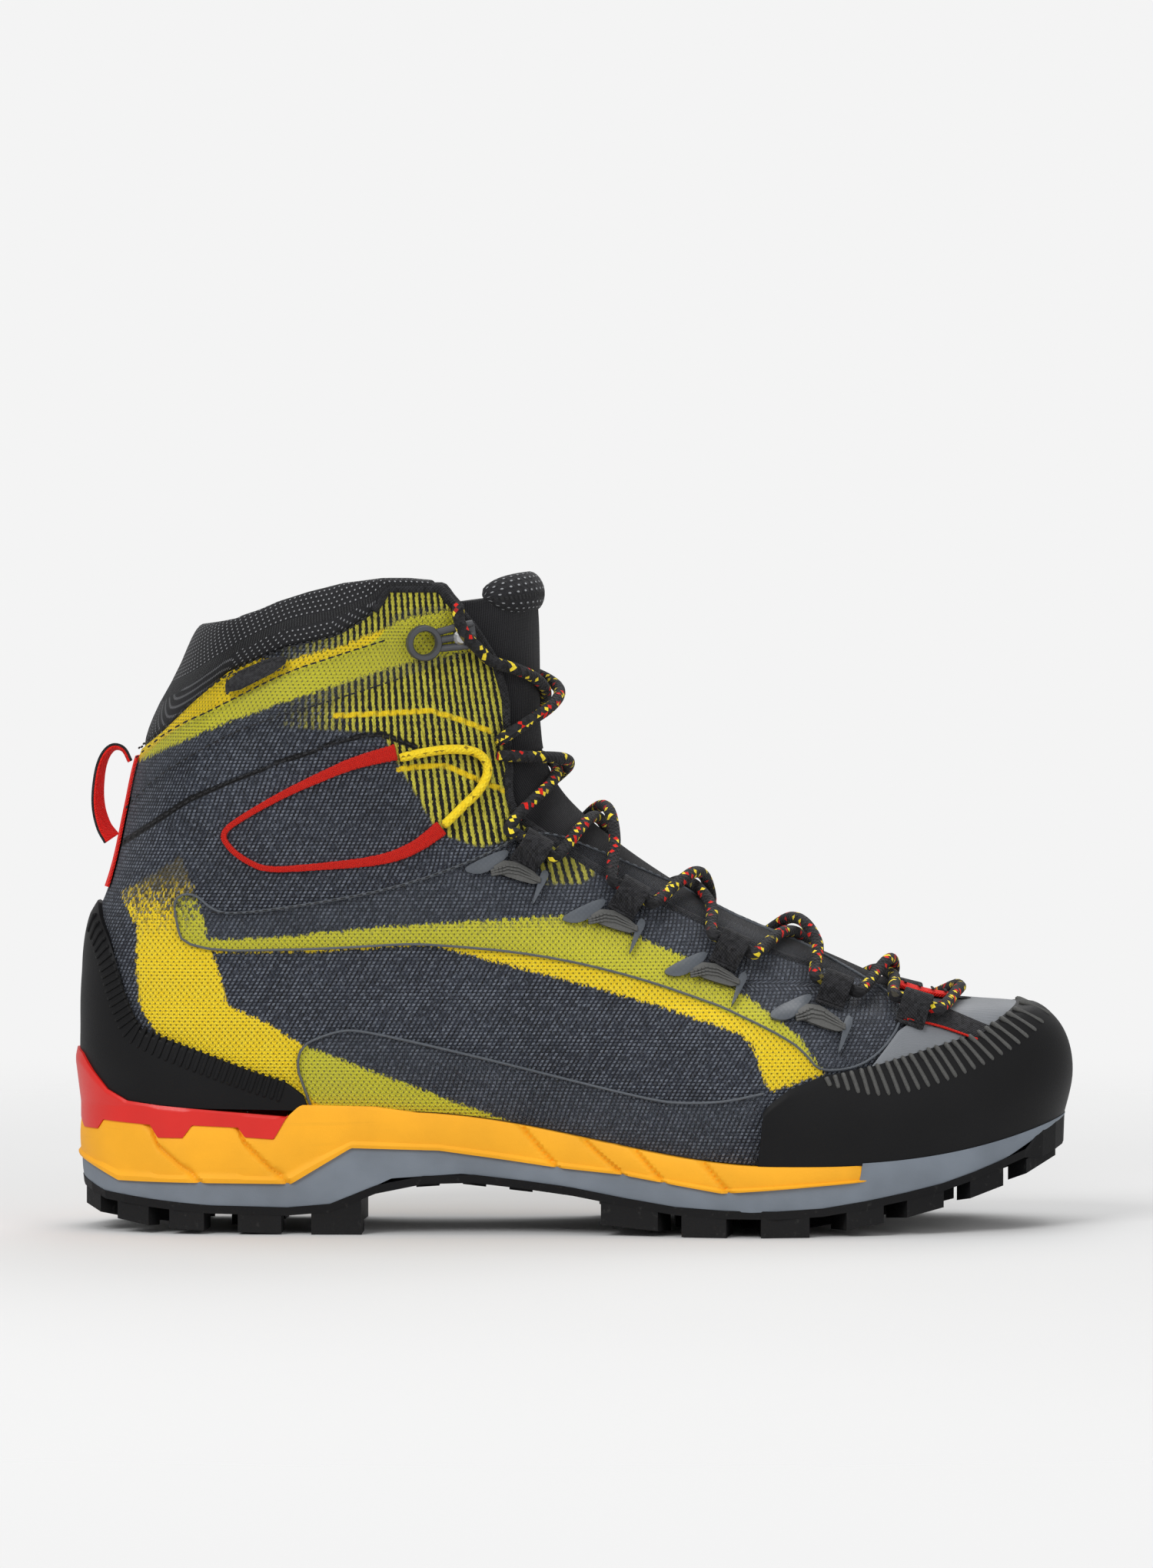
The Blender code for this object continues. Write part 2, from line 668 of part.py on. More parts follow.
def make_heel_insert():
    rows = (
        (SOLE_FLARE, lambda angle, x: feather_height(angle, x) - GAP),
        (SOLE_FLARE, insert_low),
    )
    angles = [angle for angle in sole_angles(INSERT_FRONT)]
    angles += [2.0 * math.pi - angle for angle in reversed(angles[:-1])]
    mesh = bpy.data.meshes.new("heel_insert")
    shape = bmesh.new()
    lines = []
    for depth in (0.0, INSERT_DEPTH):
        for out, height in rows if depth == 0.0 else reversed(rows):
            lines.append([shape.verts.new(point) for point in sole_row(angles, out - depth, height)])
    for near, far in zip(lines, lines[1:] + lines[:1]):
        for index in range(len(angles) - 1):
            shape.faces.new((near[index], near[index + 1], far[index + 1], far[index]))
    for end in (0, -1):
        shape.faces.new([line[end] for line in lines])
    bmesh.ops.recalc_face_normals(shape, faces=shape.faces)
    shape.to_mesh(mesh)
    shape.free()
    band = part_from("heel_insert", "red_plastic", mesh)
    for side in ("lateral", "medial"):
        boolean(band, heel_fin(side), "UNION")
    return band


def heel_fin(side):
    """A fin that stands up from the insert over the rand, tallest beside the back of the heel."""
    tops = (0.55, 1.0, 1.45)
    lines = side_lines(side, 15, 17)
    height = dict(zip(lines, tops if side == "lateral" else reversed(tops)))
    depth = SKIN_GAP + RAND + SKIN_GAP + FIN
    mesh = grid_mesh("heel_fin_" + side, lines, level(-0.12), lambda c: height[c],
                     lambda c, v: upper_point(c, v, depth))
    fin = solidify(bpy.data.objects.new("heel_fin_" + side, mesh), FIN)
    collection("cutters").objects.link(fin)
    fin.hide_render = True
    fin.display_type = "WIRE"
    return fin


def board_inset():
    return KNIT + STIFFENER + LINING + 4 * GAP


def make_board():
    base = board_inset()
    rows = (
        (-base, lambda angle, x: feather_height(angle, x) + BOARD),
        (-base, lambda angle, x: feather_height(angle, x)),
    )
    return sole_loft("lasting_board", "board", 0, rows)


def make_footbed():
    base = board_inset() + 0.0004
    low = BOARD + GAP
    rows = (
        (-base, lambda angle, x: feather_height(angle, x) + low + FOOTBED),
        (-base, lambda angle, x: feather_height(angle, x) + low),
    )
    return sole_loft("footbed", "footbed", 0, rows)


def shank_block(name, grow, kind=None):
    """The stiffening plate under the board, following the feather line from heel to ball."""
    mesh = bpy.data.meshes.new(name)
    shape = bmesh.new()
    lines = []
    steps = 8
    for index in range(steps + 1):
        share = index / steps
        x = -0.100 + (SHANK_LENGTH + 2 * grow) * share - grow
        angle = angle_at(x / length_scale())
        top = last_point(angle, 0.0).z - 2 * GAP + (0.004 if grow else 0.0)
        low = last_point(angle, 0.0).z - 2 * GAP - SHANK - grow
        half = SHANK_WIDTH / 2 + grow
        lines.append([shape.verts.new(Vector((x, y, z)) + Vector((0, -0.002, 0)))
                      for y, z in ((-half, low), (half, low), (half, top), (-half, top))])
    for near, far in zip(lines, lines[1:]):
        for corner in range(4):
            after = (corner + 1) % 4
            shape.faces.new((near[corner], near[after], far[after], far[corner]))
    shape.faces.new(lines[0])
    shape.faces.new(lines[-1])
    bmesh.ops.recalc_face_normals(shape, faces=shape.faces)
    shape.to_mesh(mesh)
    shape.free()
    if kind:
        return part_from(name, kind, mesh)
    return mesh


# ---------------------------------------------------------------- upper

STIFF_TOP = -(KNIT + GAP)
LINING_TOP = STIFF_TOP - STIFFENER - GAP
ALL_LINES = lines_between(0, 2 * SIDE_LINES)


def shoe_shell(name, kind, bottom, top, outside, thickness):
    """A shell that is closed over the toe and open along the throat."""
    mesh = bpy.data.meshes.new(name)
    shape = bmesh.new()
    heights = [bottom] + [row for row in GRID_ROWS if bottom < row < top] + [top]
    rows = [[shape.verts.new(upper_point(c, v, outside)) for c in ALL_LINES] for v in heights]
    for lower, upper in zip(rows, rows[1:]):
        for index in range(len(ALL_LINES) - 1):
            shape.faces.new((lower[index], upper[index], upper[index + 1], lower[index + 1]))
    bmesh.ops.remove_doubles(shape, verts=shape.verts, dist=0.00001)
    shape.to_mesh(mesh)
    shape.free()
    return solidify(part_from(name, kind, mesh), thickness)


def make_lower_shells():
    top = FLEX_RING - FLEX_MARGIN
    return [
        shoe_shell("upper_knit", "knit", 0.0, top, 0.0, KNIT),
        shoe_shell("lining_lower", "lining", 0.12, top, LINING_TOP, LINING),
    ]


def sheet(name, kind, lines, rows, outside, thickness, outline):
    """Whole grid cells between two rows, trimmed to a side-view outline."""
    made = layer(name, kind, lines, level(rows[0]), level(rows[1]), outside, thickness)
    return trimmed(made, outline)


def make_stiffeners():
    return [
        sheet("heel_counter", "stiffener", lines_between(9, 27), (0.12, 8.0), STIFF_TOP, STIFFENER, COUNTER),
        sheet("toe_puff", "stiffener", toe_lines(7), (0.12, 5.0), STIFF_TOP, STIFFENER, PUFF),
    ]


def make_rands():
    toe = TOE_RAND_TOP + ((134, 90), (170, 90), (170, 10), (44, 10))
    heel = HEEL_RAND_TOP + ((-170, 20),)
    return [
        sheet("toe_rand", "rubber", toe_lines(8), (0.08, 5.0), SKIN_GAP + RAND, RAND, toe),
        sheet("heel_rand", "rubber", lines_between(11, 25), (0.08, 9.0), SKIN_GAP + RAND, RAND, heel),
    ]


def make_toe_film():
    edge = shifted(TOE_RAND_TOP[5:], -0.3, SEAM)
    outline = ((96, 90), (96, 62), (89.5, 52.5)) + edge[1:] + ((133.4, 90),)
    return sheet("toe_film", "film", toe_lines(6), (1.0, 5.0), SKIN_GAP + FILM, FILM, outline)


def make_lower_films(side):
    cage = CAGE_TOP + CAGE_BOTTOM[::-1]
    return [
        sheet("cage_film_" + side, "film", side_lines(side, 3, 17), (2.0, 9.0), SKIN_GAP + FILM, FILM, cage),
        sheet("side_film_" + side, "film", side_lines(side, 5, 13), (0.12, 4.0), SKIN_GAP + FILM, FILM,
              SIDE_FILM_TOP),
    ]


def make_cuff_shells():
    bottom = CUFF_RING + FLEX_MARGIN
    base = ((20, 90), (-170, 90))
    below_collar = shifted(COLLAR_BOTTOM, SEAM / 2, -SEAM)
    knit = below_collar + CUFF_FRONT_TOP + base
    lining = shifted(COLLAR_BOTTOM, 2.5, -3.0) + shifted(CUFF_FRONT_TOP[1:], 0.0, -3.0) + base
    collar = COLLAR_BOTTOM + CUFF_TOP[:0:-1] + ((-170, 183),)
    return [
        sheet("cuff_knit", "knit", ALL_LINES, (bottom, 17.0), 0.0, KNIT, knit),
        sheet("cuff_lining", "lining", ALL_LINES, (bottom, 17.0), LINING_TOP, LINING, lining),
        sheet("collar_padding", "lining", lines_between(1, 35), (13.0, 17.0), COLLAR_PROUD, COLLAR_PAD, collar),
    ]


def make_flex_panel():
    """The stretch gusset that lets the cuff lean: one ring between the lower boot and the cuff."""
    return layer("ankle_flex_panel", "knit", ALL_LINES, level(FLEX_RING + PANEL_MARGIN),
                 level(CUFF_RING - PANEL_MARGIN), -CLOTH_SINK, PANEL)


def make_cuff_films(side):
    strap = STRAP_TOP + STRAP_BOTTOM[::-1]
    return sheet("strap_film_" + side, "film", side_lines(side, 0, 17), (12.0, 16.0), SKIN_GAP + FILM, FILM,
                 strap)


def make_collar_tag():
    return sheet("collar_tag", "black_fabric", side_lines("lateral", 7, 14), (13.0, 16.0),
                 SKIN_GAP + TAB_DEPTH, TAB_DEPTH, TAG)


def make_back_tape():
    return layer("back_tape", "red_fabric", lines_between(17, 19), level(CUFF_RING + 0.1),
                 level(13.0), SKIN_GAP + FILM, FILM)


# ---------------------------------------------------------------- tongue

def tongue_point(f, v, depth):
    """f runs from -1 at the lateral edge of the tongue, over 0 at its ridge, to 1 at the medial edge."""
    return offset_point(-f * throat_angle(v), v, depth)


def tongue_grid(name, kind, shares, heights, depth, thickness):
    mesh = bpy.data.meshes.new(name)
    shape = bmesh.new()
    rows = [[shape.verts.new(tongue_point(f, v, depth)) for f in shares] for v in heights]
    for lower, upper in zip(rows, rows[1:]):
        for index in range(len(shares) - 1):
            shape.faces.new((lower[index], lower[index + 1], upper[index + 1], upper[index]))
    bmesh.ops.recalc_face_normals(shape, faces=shape.faces)
    shape.to_mesh(mesh)
    shape.free()
    return solidify(part_from(name, kind, mesh), thickness)


def make_tongue():
    base = [TONGUE_SHARE * (index / 3.0 - 1.0) for index in range(7)]
    narrow = [TONGUE_NARROW_SHARE * (index / 3.0 - 1.0) for index in range(7)]
    rows = [TONGUE_BASE_RING, 6.6, 7.0, 8.0, 9.0, FLEX_RING - FLEX_MARGIN]
    upper_rows = [TONGUE_UPPER_RING, 12.0, 13.0, 14.0, 15.0, TONGUE_TOP_RING]
    bend_rows = [FLEX_RING + FLEX_MARGIN, 10.6, TONGUE_UPPER_RING - 0.05]
    lower = tongue_grid("tongue_base", "black_fabric", base, rows, -CLOTH_SINK, TONGUE_PAD)
    bend = tongue_grid("tongue_bend", "black_fabric", narrow, bend_rows, -CLOTH_SINK, TONGUE_PAD)
    upper = tongue_grid("tongue_upper", "black_fabric", narrow, upper_rows, -CLOTH_SINK, TONGUE_PAD)
    roll = tongue_grid("tongue_roll", "black_fabric", narrow, [TONGUE_TOP_RING + 0.04, 15.9, ROLL_TOP_RING],
                       ROLL_PROUD, TONGUE_PAD + ROLL_EXTRA)
    return lower, bend, upper, roll


def make_throat_tab():
    """The red stitched tab where the tongue meets the toe."""
    mesh = bpy.data.meshes.new("throat_tab")
    shape = bmesh.new()
    rows = []
    for v, half in ((5.32, 0.10), (5.7, 0.13), (6.05, 0.15)):
        rows.append([shape.verts.new(offset_point(-half * f, v, 0.0018)) for f in (-1, -0.5, 0, 0.5, 1)])
    for lower, upper in zip(rows, rows[1:]):
        for index in range(4):
            shape.faces.new((lower[index], lower[index + 1], upper[index + 1], upper[index]))
    bmesh.ops.recalc_face_normals(shape, faces=shape.faces)
    shape.to_mesh(mesh)
    shape.free()
    return solidify(part_from("throat_tab", "red_fabric", mesh), 0.0008)


# ---------------------------------------------------------------- lacing

def place_on_side(x, z, side):
    """Angle and height of the lateral or medial surface point at a side-view place."""
    best = None
    for step in range(171):
        v = 17.0 * step / 170
        row = ring(v)
        share = (x - row[0]) / (row[2] - row[0])
        if not 0.0 < share < 1.0:
            continue
        chord = row[1] + (row[3] - row[1]) * share - row[8] * sag_shape(share)
        if best is None or abs(chord - z) < best[0]:
            best = (abs(chord - z), math.acos(2.0 * share - 1.0), v)
    angle = best[1]
    return (angle if side == "lateral" else 2.0 * math.pi - angle), best[2]


def surface_frame(x, z, side, depth):
    """A frame on the surface: X forward along the throat, Y up the side, Z outward."""
    angle, v = place_on_side(x, z, side)
    out = last_normal(angle, v)
    slope = Vector((0.88, 0.0, -0.47)) if v < 10.0 else Vector((1.0, 0.0, 0.15))
    forward = (slope - out * slope.dot(out)).normalized()
    up = out.cross(forward)
    spot = last_point(angle, v) + out * depth
    return Matrix((
        (forward.x, up.x, out.x, spot.x),
        (forward.y, up.y, out.y, spot.y),
        (forward.z, up.z, out.z, spot.z),
        (0.0, 0.0, 0.0, 1.0),
    ))


def box_mesh(size, centre):
    mesh = bpy.data.meshes.new("box")
    shape = bmesh.new()
    bmesh.ops.create_cube(shape, size=1.0)
    bmesh.ops.scale(shape, vec=size, verts=shape.verts)
    bmesh.ops.translate(shape, vec=centre, verts=shape.verts)
    shape.to_mesh(mesh)
    shape.free()
    return mesh


def lace_depth():
    """Height of the lace's centre over the film inside a loop."""
    return SKIN_GAP + 2 * GAP + FILM + LOOP_WALL + LACE_SLACK + LACE_RADIUS


def make_lace_loop(index, side):
    """A flat webbing tunnel that the lace runs through along the throat's edge."""
    x, z = LOOP_PLACES[index]
    inner = 2.0 * (LACE_RADIUS + LACE_SLACK)
    height = inner + 2.0 * LOOP_WALL
    frame = surface_frame(x, z, side, lace_depth())
    name = "lace_loop_%d_%s" % (index + 1, side)
    body = box_mesh((LOOP_LENGTH, LOOP_WIDTH, height), (0, 0, 0))
    loop = part_from(name, "black_fabric", body, smooth=False)
    tunnel = join_operand("tunnel_" + name, [box_mesh((LOOP_LENGTH * 2, LOOP_WIDTH - 2 * LOOP_WALL, inner),
                                                      (0, 0, 0))])
    loop.matrix_world = frame
    tunnel.matrix_world = frame
    return boolean(loop, tunnel, "DIFFERENCE")


def tube(name, kind, points, radius):
    """A cord as a bevelled poly curve through points on a smooth line."""
    curve = bpy.data.curves.new(name, "CURVE")
    curve.dimensions = "3D"
    curve.bevel_depth = radius
    curve.bevel_resolution = 2
    curve.use_fill_caps = True
    spline = curve.splines.new("POLY")
    spline.points.add(len(points) - 1)
    for place, point in zip(spline.points, points):
        place.co = (*point, 1.0)
    curve.materials.append(material(name, kind))
    obj = bpy.data.objects.new(name, curve)
    collection("mountaineering_boot").objects.link(obj)
    return obj


def smooth_path(points, per_span):
    """Points read from a smooth curve through the route's own points, without overshoot."""
    ends = [points[0] * 2 - points[1]] + points + [points[-1] * 2 - points[-2]]
    headings = [(ahead - behind).normalized() for behind, ahead in zip(ends, ends[2:])]
    path = []
    for index in range(len(points) - 1):
        start, end = points[index], points[index + 1]
        reach = (end - start).length
        for step in range(per_span):
            t = step / per_span
            leave, arrive = t ** 3 - 2 * t ** 2 + t, t ** 3 - t ** 2
            path.append(start * (2 * t ** 3 - 3 * t ** 2 + 1) + headings[index] * (reach * leave)
                        + end * (3 * t ** 2 - 2 * t ** 3) + headings[index + 1] * (reach * arrive))
    return path + [points[-1]]


def loop_run(index, side):
    """The lace's straight run through a loop, from its front to its back."""
    x, z = LOOP_PLACES[index]
    frame = surface_frame(x, z, side, lace_depth())
    near = LOOP_LENGTH / 2
    return [frame @ Vector((reach, 0, 0)) for reach in (near + LACE_RUN_OUT, near, -near, -near - LACE_RUN_OUT)]


def signed_place(x, z, side):
    """Angle, counted negative on the medial side, and height of a side-view place."""
    angle, v = place_on_side(x, z, side)
    return (angle if side == "lateral" else angle - 2.0 * math.pi), v


def run_place(index, side, back):
    """Angle and height where the lace leaves a loop."""
    x, z = drawn(loop_run(index, side)[-1 if back else 0])
    return signed_place(x, z, side)


def ridge_row(x):
    """Height of the ring whose front lies at a drawn x, on the slope above the toe."""
    v = 5.0
    while ring(v)[2] > x:
        v += 0.02
    return v


def over_tongue(start, end, shares, lift, ridge=None):
    """Points over the tongue between two places given as angle and height, over a ridge height."""
    rise = 0.0 if ridge is None else ridge - (start[1] + end[1]) / 2
    points = []
    for share in shares:
        bow = math.sin(math.pi * share)
        angle = start[0] + (end[0] - start[0]) * share
        v = start[1] + (end[1] - start[1]) * share + rise * bow
        points.append(offset_point(angle, v, LACE_RADIUS + LACE_CLEARANCE + lift * bow ** 2))
    return points


def crossing(index, side, lift):
    """From the back of one loop to the front of the next one on the other side."""
    other = "medial" if side == "lateral" else "lateral"
    start = run_place(index, side, True)
    end = run_place(index + 1, other, False)
    ridge = ridge_row((LOOP_PLACES[index][0] + LOOP_PLACES[index + 1][0]) / 2 + 4.0)
    return over_tongue(start, end, (0.2, 0.4, 0.6, 0.8), lift, ridge)


def lace_route(first_side, lift):
    """One end of the lace, from the toe through alternate loops up to the flex line."""
    sides = ("lateral", "medial") if first_side == "lateral" else ("medial", "lateral")
    turn = -1.0 if first_side == "medial" else 1.0
    points = [offset_point(math.radians(3) * turn, 5.2, LACE_START),
              offset_point(math.radians(12) * turn, 5.1, LACE_START)]
    for index in range(len(LOOP_PLACES)):
        if index:
            points += crossing(index - 1, sides[(index - 1) % 2], lift)
        points += loop_run(index, sides[index % 2])
    return points


def make_lower_laces():
    return [
        tube("lace_lower_a", "black_fabric", smooth_path(lace_route("lateral", 0.0), 2), LACE_RADIUS),
        tube("lace_lower_b", "black_fabric", smooth_path(lace_route("medial", LACE_LIFT), 2), LACE_RADIUS),
    ]


def side_point(x, z, side, depth):
    angle, v = place_on_side(x, z, side)
    return offset_point(angle, v, depth)


def make_ankle_laces():
    """The laces' crossing over the ankle, which the leaning cuff bends."""
    made = []
    last = len(LOOP_PLACES) - 1
    for name, side, other, lift in (("a", "lateral", "medial", 0.0), ("b", "medial", "lateral", LACE_LIFT)):
        run = loop_run(last, side)
        heading = (run[-1] - run[-2]).normalized()
        start = signed_place(-24.0, 122.0, side)
        end = signed_place(-25.0, 143.0, other)
        points = [run[-1] + heading * 0.0008, run[-1] + heading * 0.0024]
        points += over_tongue(start, end, (0.2, 0.35, 0.5, 0.65, 0.82, 1.0), lift)
        made.append(tube("lace_ankle_" + name, "black_fabric", smooth_path(points, 2), LACE_RADIUS))
    return made


def make_upper_laces():
    """From the ankle cords up across the tongue to the hooks' plates."""
    made = []
    for name, side, other, lift in (("a", "medial", "lateral", 0.0), ("b", "lateral", "medial", LACE_LIFT)):
        start = signed_place(-25.3, 147.2, side)
        end = signed_place(-27.0, 171.5, other)
        points = over_tongue(start, end, (0.0, 0.17, 0.33, 0.5, 0.67, 0.83, 1.0), lift)
        made.append(tube("lace_upper_" + name, "black_fabric", smooth_path(points, 2), LACE_RADIUS))
    return made


def make_ankle_cord(side):
    """The yellow cord that ties the ankle wrap to the lace: out, round the lace and back."""
    route = ((-53.0, 142.5), (-44.0, 144.4), (-36.0, 145.0), (-30.0, 143.5), (-27.5, 139.0), (-29.5, 133.0),
             (-35.0, 127.0), (-40.0, 121.8))
    points = [side_point(x, z, side, 0.0008 + CORD_RADIUS) for x, z in route]
    return tube("ankle_cord_" + side, "yellow_cord", smooth_path(points, 3), CORD_RADIUS)


def make_hook(side):
    """An open ring hook on an arm that is riveted to the cuff's front edge."""
    frame = surface_frame(*HOOK_PLACE, side, SKIN_GAP + GAP + FILM + HOOK_THICK / 2)
    mesh = bpy.data.meshes.new("hook_" + side)
    shape = bmesh.new()
    bmesh.ops.create_cone(shape, cap_ends=True, segments=20, radius1=HOOK_RADIUS, radius2=HOOK_RADIUS,
                          depth=HOOK_THICK)
    shape.to_mesh(mesh)
    shape.free()
    ring_body = part_from("hook_" + side, "hook_plastic", mesh)
    arm = join_operand("hook_arm_" + side, [box_mesh((PLATE_LENGTH, PLATE_WIDTH, PLATE_THICK),
                                                     (PLATE_LENGTH / 2 + HOOK_ARM_START, 0, 0))])
    bore_mesh = bpy.data.meshes.new("bore")
    shape = bmesh.new()
    bmesh.ops.create_cone(shape, cap_ends=True, segments=20, radius1=HOOK_BORE, radius2=HOOK_BORE, depth=0.02)
    shape.to_mesh(bore_mesh)
    shape.free()
    bore = join_operand("hook_bore_" + side, [bore_mesh])
    for obj in (ring_body, arm, bore):
        obj.matrix_world = frame
    boolean(ring_body, arm, "UNION")
    return boolean(ring_body, bore, "DIFFERENCE")


def make_rivet(side):
    frame = surface_frame(*HOOK_PLACE, side, SKIN_GAP + GAP + FILM + HOOK_THICK / 2)
    mesh = bpy.data.meshes.new("hook_rivet_" + side)
    shape = bmesh.new()
    bmesh.ops.create_cone(shape, cap_ends=True, segments=14, radius1=0.0024, radius2=0.0016, depth=0.001)
    shape.to_mesh(mesh)
    shape.free()
    rivet = part_from("hook_rivet_" + side, "hook_plastic", mesh)
    rivet.matrix_world = frame @ Matrix.Translation((HOOK_ARM_START + PLATE_LENGTH * 0.62, 0,
                                                     PLATE_THICK / 2 + GAP + 0.0005))
    return rivet


def make_pull_loop():
    """A strap bowed out from the back of the cuff, standing just off it at both ends."""
    mesh = bpy.data.meshes.new("pull_loop")
    shape = bmesh.new()
    route = [Vector((x * length_scale(), 0.0, z * height_scale())) + ORIGIN_SHIFT for x, z in PULL_PATH]
    path = smooth_path(route, 2)
    rows = []
    for point in path:
        rows.append([shape.verts.new(point + Vector((0, side * PULL_WIDTH / 2, 0))) for side in (1, -1)])
    for near, far in zip(rows, rows[1:]):
        shape.faces.new((near[0], far[0], far[1], near[1]))
    shape.to_mesh(mesh)
    shape.free()
    strap = part_from("pull_loop", "black_fabric", mesh)
    solidify(strap, PULL_THICK)
    strap.modifiers["thickness"].offset = 0.0
    return strap


# ---------------------------------------------------------------- assembly

def pivot(name, x, z):
    """An empty on a joint's axis."""
    empty = bpy.data.objects.new(name, None)
    empty.location = Vector((x * length_scale(), 0.0, z * height_scale())) + ORIGIN_SHIFT
    collection("cutters").objects.link(empty)
    return empty


def hang_on(empty, objects):
    for obj in objects:
        obj.parent = empty
        obj.matrix_parent_inverse = Matrix.Translation(empty.location).inverted()


def main():
    clear_scene()
    collection("mountaineering_boot")
    make_outsole()
    make_grey_midsole()
    yellow = make_yellow_midsole()
    boolean(yellow, join_operand("shank_slot", [shank_block("slot", GAP)]), "DIFFERENCE")
    make_heel_insert()
    shank_block("shank", 0.0, "steel")
    make_board()
    make_footbed()
    make_lower_shells()
    make_stiffeners()
    make_rands()
    make_toe_film()
    make_throat_tab()
    cuff = make_cuff_shells()
    make_flex_panel()
    make_lower_laces()
    make_ankle_laces()
    cuff += make_upper_laces()
    cuff += [make_collar_tag(), make_back_tape()]
    for side in ("lateral", "medial"):
        make_lower_films(side)
        make_ankle_cord(side)
        for index in range(len(LOOP_PLACES)):
            make_lace_loop(index, side)
        cuff += [make_cuff_films(side), make_hook(side), make_rivet(side)]
    base, bend, upper, roll = make_tongue()
    cuff_pivot = pivot("cuff_pivot", *CUFF_AXIS)
    tongue_pivot = pivot("tongue_pivot", *TONGUE_AXIS)
    hang_on(cuff_pivot, cuff)
    hang_on(tongue_pivot, [upper, roll])
    hang_on(pivot("pull_pivot", PULL_PATH[0][0], PULL_PATH[0][1]), [make_pull_loop()])


main()
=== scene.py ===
"""Looks of a mountaineering boot: knit, films, rubber, laces and padding, built round its frame."""
import sys
import json
import math

